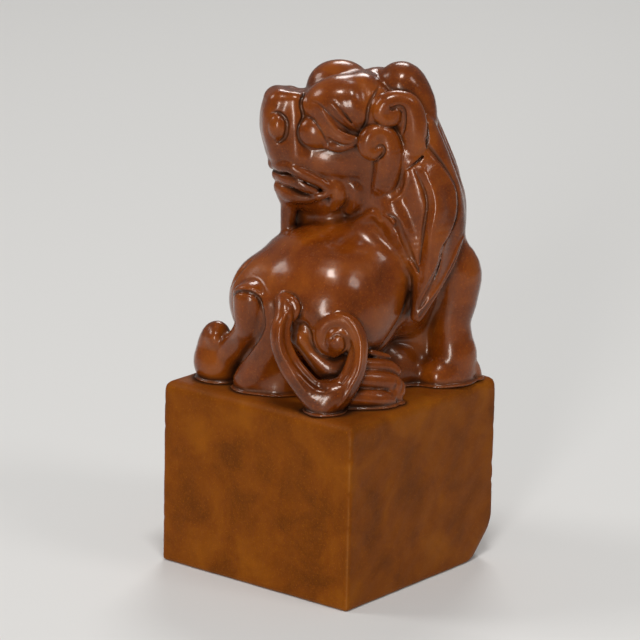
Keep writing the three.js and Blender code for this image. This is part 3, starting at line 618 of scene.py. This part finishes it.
def carve_mane_lines(side):
    """The bevel and the back edge raise the lock on one side; a crisp edge is a ridge beside a groove."""

    def at(stations, ahead=0.0, up=0.0, wider=1.0):
        return in_mane([[f + ahead, s, z + up, wider * size] for f, s, z, size in stations], side)

    terrace(at(MANE_BEVEL), 1.2, 2.8, side)
    groove(at(MANE_BEVEL, ahead=0.1, wider=0.2), 0.15)
    terrace(at(MANE_BACK, wider=2.6), 0.35, 1.5, -side)
    ridge(at(MANE_BACK, wider=1.3), 0.25)
    groove(at(MANE_BACK, ahead=-0.6, up=-0.1, wider=0.5), 0.5)
    ridge(at(MANE_REAR, wider=1.3), 0.25)
    groove(at(MANE_REAR, ahead=-0.6, up=-0.1), 0.35)
    ridge(at(MANE_FRONT, wider=1.3), 0.25)
    groove(at(MANE_FRONT, ahead=-0.5, wider=0.9), 0.25)
    groove(at([[-6.3, 7.6, -10.8, 0.1], [-7.3, 8, -12.8, 0.3], [-8, 8.2, -15, 0.1]]), 1)
    ridge(at([
        [-7.2, 7.4, -3.6, 0.05], [-7.2, 7.4, -5.2, 0.18], [-6.6, 7.2, -6.8, 0.2], [-5.4, 7, -7.8, 0.1],
    ]), 0.3)


def build_mane():
    """The middle lock, the locks of each side, and the knots of the crest."""
    g = "mane"
    limb(g, in_mane([
        [-8.9, 0, 2.6, 2.1], [-10.6, 0, -2.2, 2.2], [-11.9, 0, -6.2, 2.6], [-12.7, 0, -10.4, 2.8],
        [-12.4, 0, -15, 2.6], [-10.6, 0, -20.4, 1.6],
    ]), 1.5)
    for side in (1, -1):
        for lock in MANE_MASS:
            limb(g, in_mane(lock, side), 1.2)
        carve_mane_lines(side)
    limb(g, in_head([
        [-5.4, 1.6, 6.4, 2.9], [-6.4, 1.8, 6.3, 3.2], [-8, 2.8, 4.6, 2.5], [-8.8, 3.4, 2, 2],
    ]), 0.4)
    limb(g, in_head([
        [-5.4, -1.6, 5.6, 2.5], [-6.5, -1.8, 5.4, 2.9], [-8, -2.8, 4.2, 2.3], [-8.8, -3.4, 2, 2],
    ]), 0.4)
    head_ball(g, (-3.4, 0, 6.7), (2.3, 2, 1.9), 0.5)


build_body()
build_tail()
build_mane()
build_head()


# From forms to a field.
LONG_WAVE, SHORT_WAVE = 0.02, 0.006
DETAIL_MARGIN = 0.3
TERRACE_REACH, TERRACE_SKIN = 2.6, 1.6
LEDGE_HEIGHT, LEDGE_WIDTH, LEDGE_EDGE, LEDGE_BLEND = 0.32, 0.5, 0.25, 0.15
SNAPS, LONGEST_SNAP, LINE_SMOOTHINGS = 6, 0.8, 2
LION_LOW, LION_HIGH = (-19.0, -17.5, -1.5), (17.5, 17.5, 46.0)


def wobble(points):
    """The slight unevenness that a hand-worked surface keeps, in millimetres."""
    x, y, z = points.T
    long = np.sin(0.9 * x + 1.3 * y + 0.4) + np.sin(1.1 * y - 0.8 * z + 2.0) + np.sin(1.2 * z + 0.7 * x + 4.0)
    one = np.sin(2.9 * x - 1.7 * z + 1.0) * np.sin(2.3 * y + 1.9 * x)
    other = np.sin(3.1 * z + 2.2 * y) * np.sin(2.7 * x - 0.5)
    return LONG_WAVE * long + SHORT_WAVE * (one + other)


def raw_field(grid, group=None):
    """The joined forms, and where a group is named its own distance and that of the others."""
    field = grid.full()
    own, others = grid.full(), grid.full()
    for name, kind, data, blend in forms:
        margin = blend + grid.reach
        if kind == "limb":
            window, d = chain_distance(grid, data, margin)
        else:
            window, d = ball_distance(grid, *data, margin)
        if window is None:
            continue
        field[window] = soft_min(field[window], d, blend)
        target = own if name == group else others
        target[window] = np.minimum(target[window], d)
    return field, own, others


def cut_details(grid, field, lines):
    """Cut the laid lines into the field, in order."""
    for (kind, _, settings), line in zip(details, lines):
        if kind == "terrace":
            raise_terrace(grid, field, line, *settings)
            continue
        blend = settings[0]
        window, d = chain_distance(grid, line[:, :4], blend + DETAIL_MARGIN)
        if window is None:
            continue
        if kind == "groove":
            field[window] = soft_max(field[window], -d, blend)
        else:
            field[window] = soft_min(field[window], d, blend)


def raise_terrace(grid, field, line, edge, reach, flip):
    """Lift the surface on one side of a line, by the height that the line holds there."""
    away = TERRACE_REACH * reach
    window = grid.window(line[:, :3].min(0) - away, line[:, :3].max(0) + away)
    if window is None:
        return
    part = field[window]
    chosen = np.nonzero(np.abs(part) < TERRACE_SKIN)
    if not len(chosen[0]):
        return
    axes = grid.axes(window)
    points = np.stack([axes[i].ravel()[chosen[i]] for i in range(3)], 1).astype(np.float32)
    best = np.full(len(points), np.inf, np.float32)
    offset = np.zeros(len(points), np.float32)
    height = np.zeros(len(points), np.float32)
    for a, b in zip(line[:-1], line[1:]):
        d = b[:3] - a[:3]
        along = d / max(np.linalg.norm(d), TINY)
        normal = a[4:7] + b[4:7]
        across = flip * np.cross(normal / max(np.linalg.norm(normal), TINY), along)
        v = points - a[:3].astype(np.float32)
        t = np.clip(v @ d.astype(np.float32) / max(d @ d, TINY), 0, 1)
        q = v - t[:, None] * d.astype(np.float32)
        far = (q * q).sum(1)
        nearer = far < best
        best[nearer] = far[nearer]
        offset[nearer] = q[nearer] @ across.astype(np.float32)
        height[nearer] = (a[3] + t * (b[3] - a[3]))[nearer]
    near = np.sqrt(best)
    side = np.clip(offset / edge, 0, 1)
    fade = np.exp(-((near / reach) ** 2))
    lift = height * (0.6 * side + 0.4 * side * side * (3 - 2 * side)) * fade
    part[chosen] = part[chosen] - lift
    field[window] = part


def add_ledge(grid, field):
    """The narrow shelf of stone that is left round the feet."""
    z = grid.axes(grid.whole())[2]
    ledge = soft_max(field - LEDGE_WIDTH, z - LEDGE_HEIGHT, LEDGE_EDGE)
    return soft_min(field, ledge, LEDGE_BLEND)


def on_surface(path, sink=0.0):
    """The line, laid on the coarse surface, with the surface's normal at each point."""
    line = path.copy()
    for _ in range(SNAPS):
        slope = coarse.gradient(coarse_field, line[:, :3])
        value = coarse.sample(coarse_field, line[:, :3]) + sink
        line[:, :3] -= np.clip(value, -LONGEST_SNAP, LONGEST_SNAP)[:, None] * unit(slope)
    for _ in range(LINE_SMOOTHINGS):
        line[1:-1, :3] = 0.25 * line[:-2, :3] + 0.5 * line[1:-1, :3] + 0.25 * line[2:, :3]
    slope = unit(coarse.gradient(coarse_field, line[:, :3]))
    return np.hstack([line, slope])


coarse = Grid(LION_LOW, LION_HIGH, step=0.3, reach=3.0)
coarse_field, _, _ = raw_field(coarse)
detail_lines = [
    on_surface(path) if kind == "terrace" else on_surface(path, sink=settings[1])
    for kind, path, settings in details
]
cut_details(coarse, coarse_field, detail_lines)
coarse_field = add_ledge(coarse, coarse_field)


# From a field to meshes.
SMOOTHINGS, LEAST_SLOPE = 3, 0.25
SMOOTHING_SPAN, LONGEST_MOVE = 0.5, 0.4  # in steps of the grid
UNDER_TOP, SLOPE_SPAN = 0.6, 0.12
PART_GAP, FOOT_SINK, WOBBLE_SKIN = 0.12, 0.05, 1.0
BEND_STEP, SHARPEST_BEND = 0.3, 5
# Painted shade: how far out from the surface enclosing stone is looked for, and the weight of each look.
NEAR_SHADE = ((0.25, 0.2), (0.5, 0.25))  # (reach, weight), seen in the piece's own field
FAR_SHADE = ((1.0, 0.25), (1.8, 0.2), (3.0, 0.1))  # seen in the coarse field


def surface_of(grid, field):
    """The points and quads of the field's zero surface, with the quads facing outwards."""
    volume = openvdb.FloatGrid(FAR)
    volume.copyFromArray(np.ascontiguousarray(field))
    points, _, quads = volume.convertToPolygons(isovalue=0.0, adaptivity=0.0)
    points = points.astype(float) * grid.step + grid.low
    for _ in range(SMOOTHINGS):
        value = grid.sample(field, points)
        slope = grid.gradient(field, points, SMOOTHING_SPAN * grid.step)
        size = np.maximum((slope * slope).sum(1), LEAST_SLOPE)
        move = -(value / size)[:, None] * slope
        longest = LONGEST_MOVE * grid.step
        points += np.clip(move, -longest, longest)
    a, b, c, d = (points[quads[:, i]] for i in range(4))
    volume_sign = (np.einsum("ij,ij->i", a, np.cross(b, c)) + np.einsum("ij,ij->i", a, np.cross(c, d))).sum()
    if volume_sign < 0:
        quads = quads[:, ::-1]
    return points, quads


def mesh_of(name, grid, field, shade):
    """A closed mesh of the field's zero surface, with what shade says of each point as attributes."""
    points, quads = surface_of(grid, field)
    mesh = bpy.data.meshes.new(name)
    mesh.vertices.add(len(points))
    world = (points + np.array([0, 0, TOP])) * MM
    mesh.vertices.foreach_set("co", world.astype(np.float32).ravel())
    mesh.loops.add(quads.size)
    mesh.loops.foreach_set("vertex_index", np.ascontiguousarray(quads, np.int32).ravel())
    mesh.polygons.add(len(quads))
    mesh.polygons.foreach_set("loop_start", np.arange(0, quads.size, 4, dtype=np.int32))
    mesh.polygons.foreach_set("loop_total", np.full(len(quads), 4, np.int32))
    mesh.polygons.foreach_set("use_smooth", np.ones(len(quads), bool))
    mesh.update(calc_edges=True)
    for key, values in shade(points).items():
        attribute = mesh.attributes.new(key, "FLOAT", "POINT")
        attribute.data.foreach_set("value", values.astype(np.float32))
    thing = bpy.data.objects.new(name, mesh)
    bpy.context.scene.collection.objects.link(thing)
    return thing


def lion_shade(grid, field):
    """Painted shade is where the stone is enclosed, edges where it is convex and hollows where it is concave.
    """

    def shade(points):
        slope = unit(grid.gradient(field, points, SLOPE_SPAN))
        occlusion = np.zeros(len(points))
        for reach, weight in NEAR_SHADE:
            value = grid.sample(field, points + slope * reach)
            occlusion += weight * np.clip(1 - value / reach, 0, 1)
        for reach, weight in FAR_SHADE:
            p = points + slope * reach
            value = np.minimum(coarse.sample(coarse_field, p), np.maximum(p[:, 2], 0))
            occlusion += weight * np.clip(1 - value / reach, 0, 1)
        bend = -6 * grid.sample(field, points)
        for i in range(3):
            for sign in (-1, 1):
                step = np.zeros(3)
                step[i] = sign * BEND_STEP
                bend = bend + grid.sample(field, points + step)
        bend = bend / (BEND_STEP * BEND_STEP) / SHARPEST_BEND
        return {"dirt": np.clip(occlusion, 0, 1), "edge": np.clip(bend, 0, 1), "hollow": np.clip(-bend, 0, 1)}

    return shade


def box_round(group, margin=0.7):
    """The low and high corners of the box that holds a group's forms, cut off under the block's top."""
    lows, highs = [], []
    for name, kind, data, _ in forms:
        if name != group:
            continue
        if kind == "limb":
            size = data[:, 3:4] + margin
            lows.append((data[:, :3] - size).min(0))
            highs.append((data[:, :3] + size).max(0))
        else:
            centre, halves, _ = data
            size = max(halves) + margin
            lows.append(np.array(centre) - size)
            highs.append(np.array(centre) + size)
    low, high = np.min(lows, 0), np.max(highs, 0)
    low[2] = max(low[2], -UNDER_TOP)
    return low, high


def carve_piece(name, group, step):
    """The part of the lion's surface that is nearer to a group's forms than to any other form."""
    grid = Grid(*box_round(group), step, reach=0.6)
    field, own, others = raw_field(grid, group)
    cut_details(grid, field, detail_lines)
    field = add_ledge(grid, field)
    axes = grid.axes(grid.whole())
    at = np.nonzero(np.abs(field) < WOBBLE_SKIN)
    points = np.stack([axes[i].ravel()[at[i]] for i in range(3)], 1)
    field[at] += wobble(points).astype(np.float32)
    piece = np.maximum(field, 0.5 * (own - others) - PART_GAP)
    piece = np.maximum(piece, -FOOT_SINK - axes[2])
    return mesh_of(name, grid, piece, lion_shade(grid, field))


COARSER = 1.0
BODY_STEP, MANE_STEP, HEAD_STEP, CURL_STEP = 0.242, 0.16, 0.148, 0.13
BODY_NODES = [
    "torso", "neck", "right_foreleg", "right_forepaw", "left_foreleg", "left_forepaw", "right_hind_leg",
    "right_hind_paw", "left_hind_leg", "left_hind_paw", "rump_base", "belly_web",
]
HEAD_NODES = [
    "head", "nose", "lower_jaw", "tongue", "upper_lip", "lower_lip", "left_eye", "right_eye", "left_brow",
    "right_brow", "left_cheek_tuft", "right_cheek_tuft", "beard",
]
MANE_NODES = [
    "mane_middle_lock", "mane_left_back_lock", "mane_left_side_lock", "mane_left_shoulder_lock",
    "mane_right_back_lock", "mane_right_side_lock", "mane_right_shoulder_lock", "left_crest_knot",
    "right_crest_knot", "front_crest_knot",
]
PIECES = [  # (piece, group of forms, step of its grid, nodes it replaces)
    ("carved_body", "body", BODY_STEP, BODY_NODES),
    ("carved_tail", "tail", CURL_STEP, ["tail", "tail_root"]),
    ("carved_head", "head", HEAD_STEP, HEAD_NODES),
    ("carved_left_ear", "left_ear", CURL_STEP, ["left_ear"]),
    ("carved_right_ear", "right_ear", CURL_STEP, ["right_ear"]),
    ("carved_left_curl", "left_side_curl", CURL_STEP, ["left_side_curl"]),
    ("carved_right_curl", "right_side_curl", CURL_STEP, ["right_side_curl"]),
    ("carved_mane", "mane", MANE_STEP, MANE_NODES),
]
lion_pieces = []
for name, group, step, nodes in PIECES:
    piece = carve_piece(name, group, step * COARSER)
    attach(piece, "root")
    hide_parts(*nodes)
    lion_pieces.append(piece)


# The block.
ROUNDING, TOP_SOFTNESS, INSET = 0.5, 1.7, 0.02
SLOW_WAVE, FAST_WAVE = 0.05, 0.02
WEAR_REACH, WEAR_HEIGHT, WEAR_SOFTNESS = 3.0, 4.4, 1.2
FRET_WIDTH, FRET_DEPTH, FRET_BORDER, FRET_TURNS = 1.8, 0.8, 2.0, 3
FRET_WAYS, FRET_BLEND = ((1, 0), (0, 1), (-1, 0), (0, -1)), 0.15
CHIPS = [  # (corner, count, greatest radius): most are on the upright edge that faces the tail
    ((-HALF, -HALF), 26, 0.42),
    ((HALF, -HALF), 12, 0.3),
    ((-HALF, HALF), 10, 0.25),
    ((HALF, HALF), 10, 0.3),
]
CHIP_SEED, CHIP_SPREAD, CHIP_SHIFT, CHIP_HEIGHT, CHIP_BLEND = 7, 7.0, 0.1, 0.7, 0.25
CHIP_SIZES = (0.4, 1.1)  # as shares of the greatest radius
BLOCK_MARGIN, BLOCK_STEP = 0.8, 0.25
# The third is how much painted shade darkens the fret's grooves.
TOP_FADE, EDGE_WIDTH, FRET_SHADE = 0.6, 0.35, 0.6
BLOCK_SHADE = ((0.4, 0.35), (1.0, 0.3), (2.0, 0.2), (3.5, 0.15))  # (reach, weight) above the top face


def uneven_block(x, y, z):
    """A square block with round edges and a soft top edge, its sides a little uneven; z is up from below."""
    ux = SLOW_WAVE * np.sin(0.31 * y + 0.5) * np.sin(0.27 * z + 1.0) + FAST_WAVE * np.sin(1.3 * y + 0.9 * z)
    uy = SLOW_WAVE * np.sin(0.29 * x + 1.5) * np.sin(0.33 * z + 2.0) + FAST_WAVE * np.sin(1.2 * x - 1.1 * z)
    qx = np.abs(x) - HALF + ROUNDING + np.abs(ux) + INSET
    qy = np.abs(y) - HALF + ROUNDING + np.abs(uy) + INSET
    qz = ROUNDING - z
    outside = np.sqrt(np.maximum(qx, 0) ** 2 + np.maximum(qy, 0) ** 2 + np.maximum(qz, 0) ** 2)
    field = outside + np.minimum(np.maximum(np.maximum(qx, qy), qz), 0) - ROUNDING
    return soft_max(field, z - TOP, TOP_SOFTNESS)


def worn_corner(x, y, z):
    """The plane that wears off the lower end of the lion's right front corner."""
    across = 1 / WEAR_REACH / math.sqrt(2)
    slope = np.array([across, -across, -1 / WEAR_HEIGHT])
    slope /= np.linalg.norm(slope)
    plane = (x - HALF) * slope[0] + (y + HALF) * slope[1] + (z - WEAR_HEIGHT) * slope[2]
    return plane.astype(np.float32)


def cut_fret(field, x, y, z):
    """The seal face: a groove inside the border, then a square fret that winds inwards."""
    limit = HALF - FRET_BORDER - FRET_WIDTH / 2
    pitch = limit / (FRET_TURNS + 0.5)
    px, py, run, i = -limit, -limit, 2 * limit, 0
    while run > pitch:
        dx, dy = FRET_WAYS[i % 4]
        nx, ny = px + dx * run, py + dy * run
        cx, cy = (px + nx) / 2, (py + ny) / 2
        hx, hy = abs(nx - px) / 2 + FRET_WIDTH / 2, abs(ny - py) / 2 + FRET_WIDTH / 2
        cut = np.maximum(np.maximum(np.abs(x - cx) - hx, np.abs(y - cy) - hy), z - FRET_DEPTH)
        field = soft_max(field, -cut, FRET_BLEND)
        px, py = nx, ny
        if i >= 2 and i % 2 == 0:
            run -= pitch
        i += 1
    return field


def cut_chips(grid, field):
    """Small chips along the upright edges, which gather near the top on the edge that faces the tail."""
    rng = np.random.default_rng(CHIP_SEED)
    for (ex, ey), count, size in CHIPS:
        for _ in range(count):
            cz = TOP - abs(rng.normal(0, CHIP_SPREAD)) if ex < 0 and ey < 0 else rng.uniform(1, TOP - 1)
            r = size * rng.uniform(*CHIP_SIZES)
            cx = ex + rng.uniform(-CHIP_SHIFT, CHIP_SHIFT)
            centre = (cx, ey + rng.uniform(-CHIP_SHIFT, CHIP_SHIFT), cz)
            window = grid.window(np.array(centre) - [1, 1, 1 + TOP], np.array(centre) + [1, 1, 1 - TOP])
            if window is None:
                continue
            x, y, z = grid.axes(window)
            tall = (z + TOP - centre[2]) * CHIP_HEIGHT
            d = np.sqrt((x - centre[0]) ** 2 + (y - centre[1]) ** 2 + tall**2) - r
            field[window] = soft_max(field[window], -d.astype(np.float32), CHIP_BLEND)


def block_field(grid):
    x, y, z = grid.axes(grid.whole())
    z = z + TOP
    field = uneven_block(x, y, z)
    field = soft_max(field, worn_corner(x, y, z), WEAR_SOFTNESS)
    field = cut_fret(field, x, y, z)
    cut_chips(grid, field)
    return field.astype(np.float32)


def block_shade(points):
    """Painted shade lies round the lion's feet and in the fret's grooves; edge and top say how near a point
    is to either.
    """
    top = np.clip(points[:, 2] / TOP_FADE + 1, 0, 1)
    occlusion = np.zeros(len(points))
    for reach, weight in BLOCK_SHADE:
        p = points + np.array([0, 0, reach])
        occlusion += weight * np.clip(1 - coarse.sample(coarse_field, p) / reach, 0, 1)
    x, y, z = np.abs(points[:, 0]), np.abs(points[:, 1]), points[:, 2] + TOP
    gaps = np.sort(np.stack([HALF - x, HALF - y, np.minimum(z, TOP - z)], 1), axis=1)
    # Edges are less worn near the top, and painted shade darkens the fret's grooves.
    edge = np.clip(1 - gaps[:, 1] / EDGE_WIDTH, 0, 1) * np.clip((TOP - z) / 0.8 - 0.6, 0.25, 1)
    inside = (gaps[:, 0] > 0.05) * (x < HALF - 1) * (y < HALF - 1)
    sunk = np.clip((z - 0.25) / 0.3, 0, 1) * (z < 1.2) * inside
    return {"dirt": np.clip(occlusion * top + FRET_SHADE * sunk, 0, 1), "edge": edge, "top": top}


block_low = (-HALF - BLOCK_MARGIN, -HALF - BLOCK_MARGIN, -TOP - BLOCK_MARGIN)
block_high = (HALF + BLOCK_MARGIN, HALF + BLOCK_MARGIN, BLOCK_MARGIN)
block_grid = Grid(block_low, block_high, BLOCK_STEP * COARSER, reach=0)
block = mesh_of("carved_block", block_grid, block_field(block_grid), block_shade)
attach(block, "root")
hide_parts("seal_block")


# The stone.
BLACK, WHITE = (0, 0, 0), (1, 1, 1)
BLOCK_TOP_COLOUR = (0.15, 0.033, 0.004)  # redder and darker than the sides, as the lion is
WORN_EDGE_COLOUR = (0.42, 0.2, 0.06)
# Painted shade: concave hollows on the lion are darkened towards this colour.
HOLLOW_SHADE_COLOUR = (0.02, 0.008, 0.004)
# Painted shade: enclosed places, creases and the stone round the feet are darkened towards this colour.
PAINTED_SHADE_COLOUR = (0.016, 0.006, 0.003)
WARM_GLOSS = (1.0, 0.7, 0.5, 1)
GRAIN, FLECKS, VEINS, SHEEN, SCRATCHES, PITS = 2600, 4200, 330, 420, 1500, 5200  # noises, per metre
RELIEF_DEPTH = 0.00012


class Recipe:
    """The nodes of one material."""

    def __init__(self, name):
        self.material = bpy.data.materials.new(name)
        self.material.use_nodes = True
        self.tree = self.material.node_tree
        self.shader = self.tree.nodes["Principled BSDF"]
        self.place = self.tree.nodes.new("ShaderNodeTexCoord")

    def node(self, kind):
        return self.tree.nodes.new(kind)

    def put(self, value, socket):
        """Set a socket to a number or a colour, or link an output to it."""
        if isinstance(value, (int, float)):
            socket.default_value = value
        elif isinstance(value, tuple):
            socket.default_value = (*value, 1)
        else:
            self.tree.links.new(value, socket)

    def noise(self, scale, detail, roughness=0.5, distortion=0.0):
        n = self.node("ShaderNodeTexNoise")
        settings = {"Scale": scale, "Detail": detail, "Roughness": roughness, "Distortion": distortion}
        for key, value in settings.items():
            n.inputs[key].default_value = value
        self.put(self.place.outputs["Object"], n.inputs["Vector"])
        return n.outputs["Fac"]

    def attribute(self, key):
        n = self.node("ShaderNodeAttribute")
        n.attribute_name = key
        return n.outputs["Fac"]

    def ramp(self, value, stops):
        n = self.node("ShaderNodeValToRGB")
        elements = n.color_ramp.elements
        while len(elements) < len(stops):
            elements.new(0.5)
        for element, (at, colour) in zip(elements, stops):
            element.position = at
            element.color = (*colour, 1)
        self.put(value, n.inputs["Fac"])
        return n.outputs["Color"]

    def mask(self, value, low, high):
        """Black below one value and white above the other."""
        return self.ramp(value, [(low, BLACK), (high, WHITE)])

    def maths(self, operation, a, b, clamp=False):
        n = self.node("ShaderNodeMath")
        n.operation = operation
        n.use_clamp = clamp
        self.put(a, n.inputs[0])
        self.put(b, n.inputs[1])
        return n.outputs[0]

    def tint(self, colour, mask, strength, towards, clamp=False):
        """Mix a colour towards another one by a mask times a strength."""
        n = self.node("ShaderNodeMix")
        n.data_type = "RGBA"
        self.put(self.maths("MULTIPLY", mask, strength, clamp), n.inputs["Factor"])
        for name, value in (("A", colour), ("B", towards)):
            self.put(value, next(s for s in n.inputs if s.name == name and s.type == "RGBA"))
        return next(s for s in n.outputs if s.type == "RGBA")


def stone(name, dark, main, light, rough, coat, bump, mottle, is_block):
    """Mottled stone with grain, flecks and dark veins, and painted shade where it is enclosed and, on the
    lion, in its hollows; the block is also tinted on its top and edges.
    """
    recipe = Recipe(name)
    noise, mask, maths, tint = recipe.noise, recipe.mask, recipe.maths, recipe.tint
    colour = recipe.ramp(noise(mottle, 4, 0.55, 0.4), [(0.3, dark), (0.5, main), (0.72, light)])
    colour = tint(colour, mask(noise(GRAIN, 2, 0.6), 0.45, 0.75), 0.28, light)
    bright = tuple(1.7 * c for c in light)
    colour = tint(colour, mask(noise(FLECKS, 2, 0.6), 0.6, 0.7), 0.35, bright)
    veins = mask(noise(VEINS, 5, 0.7, 0.8), 0.56, 0.72)
    colour = tint(colour, veins, 0.12 if is_block else 0.2, dark)
    if is_block:
        colour = tint(colour, recipe.attribute("top"), 0.4, BLOCK_TOP_COLOUR)
        colour = tint(colour, recipe.attribute("edge"), 0.45, WORN_EDGE_COLOUR)
    else:
        # Painted shade in the concave hollows.
        colour = tint(colour, recipe.attribute("hollow"), 0.5, HOLLOW_SHADE_COLOUR, clamp=True)
        colour = tint(colour, recipe.attribute("edge"), 0.25, light)
    # Painted shade where the stone is enclosed, which also makes the stone rougher there.
    occlusion = mask(recipe.attribute("dirt"), 0.28, 0.75)
    colour = tint(colour, occlusion, 0.82, PAINTED_SHADE_COLOUR)

    gloss = maths("ADD", maths("MULTIPLY", noise(SHEEN, 3), 0.16), rough - 0.08)
    gloss = maths("ADD", gloss, maths("MULTIPLY", occlusion, 0.25), clamp=True)

    scratches = maths("MULTIPLY", noise(SCRATCHES, 4, 0.65), 0.7)
    pits = maths("MULTIPLY", noise(PITS, 2, 0.6), 0.3)
    relief = recipe.node("ShaderNodeBump")
    relief.inputs["Strength"].default_value = bump
    relief.inputs["Distance"].default_value = RELIEF_DEPTH
    recipe.put(maths("ADD", scratches, pits), relief.inputs["Height"])

    sockets = recipe.shader.inputs
    recipe.put(colour, sockets["Base Color"])
    recipe.put(gloss, sockets["Roughness"])
    recipe.put(relief.outputs["Normal"], sockets["Normal"])
    settings = {
        "Subsurface Weight": 0.12,
        "Subsurface Radius": (1.0, 0.35, 0.12),
        "Subsurface Scale": 0.0012,
        "Coat Weight": coat,
        "Coat Roughness": 0.13,
        "IOR": 1.5,
        "Specular IOR Level": 0.12 if is_block else 0.3,
        "Specular Tint": WARM_GLOSS,
    }
    for key, value in settings.items():
        sockets[key].default_value = value
    return recipe.material


lion_stone = stone(
    "polished_amber_stone", dark=(0.07, 0.012, 0.001), main=(0.14, 0.026, 0.0015),
    light=(0.23, 0.053, 0.003), rough=0.25, coat=0.38, bump=0.3, mottle=160, is_block=False,
)
block_stone = stone(
    "mottled_amber_stone", dark=(0.115, 0.028, 0.001), main=(0.175, 0.043, 0.0015),
    light=(0.235, 0.066, 0.002), rough=0.5, coat=0.0, bump=0.5, mottle=170, is_block=True,
)
for piece in lion_pieces:
    piece.data.materials.append(lion_stone)
block.data.materials.append(block_stone)


# The studio, in metres.
FLOOR_SIZE, FLOOR_COLOUR, FLOOR_ROUGHNESS = 6, (0.68, 0.67, 0.65), 0.7
WORLD_STRENGTH = 0.2
MIDDLE = (0, 0, 0.035)
LAMPS = {  # name: (place, width and height, watts), all aimed at the middle of the seal
    "key": ((-1.0, -0.47, 0.28), (0.18, 0.56), 5.6),
    "fill": ((0.1, -0.6, 0.66), (0.2, 0.26), 1.0),
    "top": ((-0.16, -0.14, 0.55), (0.12, 0.12), 1.25),
    "side": ((-0.3, 0.5, 0.5), (0.26, 0.26), 1.2),
    "back": ((0.42, 0.26, 0.5), (0.26, 0.18), 1.3),
}
CAMERA_PLACE = (-0.45178, -0.354368, 0.199121)
CAMERA_AIM = (-0.001015, 0.001294, 0.033489)
CAMERA_ROLL = 1.2244  # in degrees
LENS, SENSOR = 250.65, 36


def looking(place, aim):
    """The rotation that turns a lamp or a camera at a place towards its aim."""
    return (Vector(aim) - Vector(place)).to_track_quat("-Z", "Y")


bpy.ops.mesh.primitive_plane_add(size=FLOOR_SIZE, location=(0, 0, 0))
floor = bpy.context.object
floor.name = "floor"
floor_paint = bpy.data.materials.new("pale_floor")
floor_paint.use_nodes = True
paint_sockets = floor_paint.node_tree.nodes["Principled BSDF"].inputs
paint_sockets["Base Color"].default_value = (*FLOOR_COLOUR, 1)
paint_sockets["Roughness"].default_value = FLOOR_ROUGHNESS
floor.data.materials.append(floor_paint)

scene = bpy.context.scene
world = bpy.data.worlds.new("studio")
scene.world = world
world.use_nodes = True
background = world.node_tree.nodes["Background"].inputs
background["Color"].default_value = (1, 1, 1, 1)
background["Strength"].default_value = WORLD_STRENGTH

for name, (place, size, power) in LAMPS.items():
    light = bpy.data.lights.new(name, "AREA")
    light.shape = "ELLIPSE"
    light.size, light.size_y = size
    light.energy = power
    lamp = bpy.data.objects.new(name, light)
    scene.collection.objects.link(lamp)
    lamp.location = place
    lamp.rotation_euler = looking(place, MIDDLE).to_euler()

camera_data = bpy.data.cameras.new("camera")
camera_data.sensor_width = SENSOR
camera_data.lens = LENS
camera_data.clip_start = 0.05
camera_data.clip_end = 20
camera = bpy.data.objects.new("camera", camera_data)
scene.collection.objects.link(camera)
scene.camera = camera
camera.location = CAMERA_PLACE
camera.rotation_mode = "QUATERNION"
roll = Quaternion((0, 0, 1), math.radians(CAMERA_ROLL))
camera.rotation_quaternion = looking(CAMERA_PLACE, CAMERA_AIM) @ roll

scene.view_settings.view_transform = "Standard"
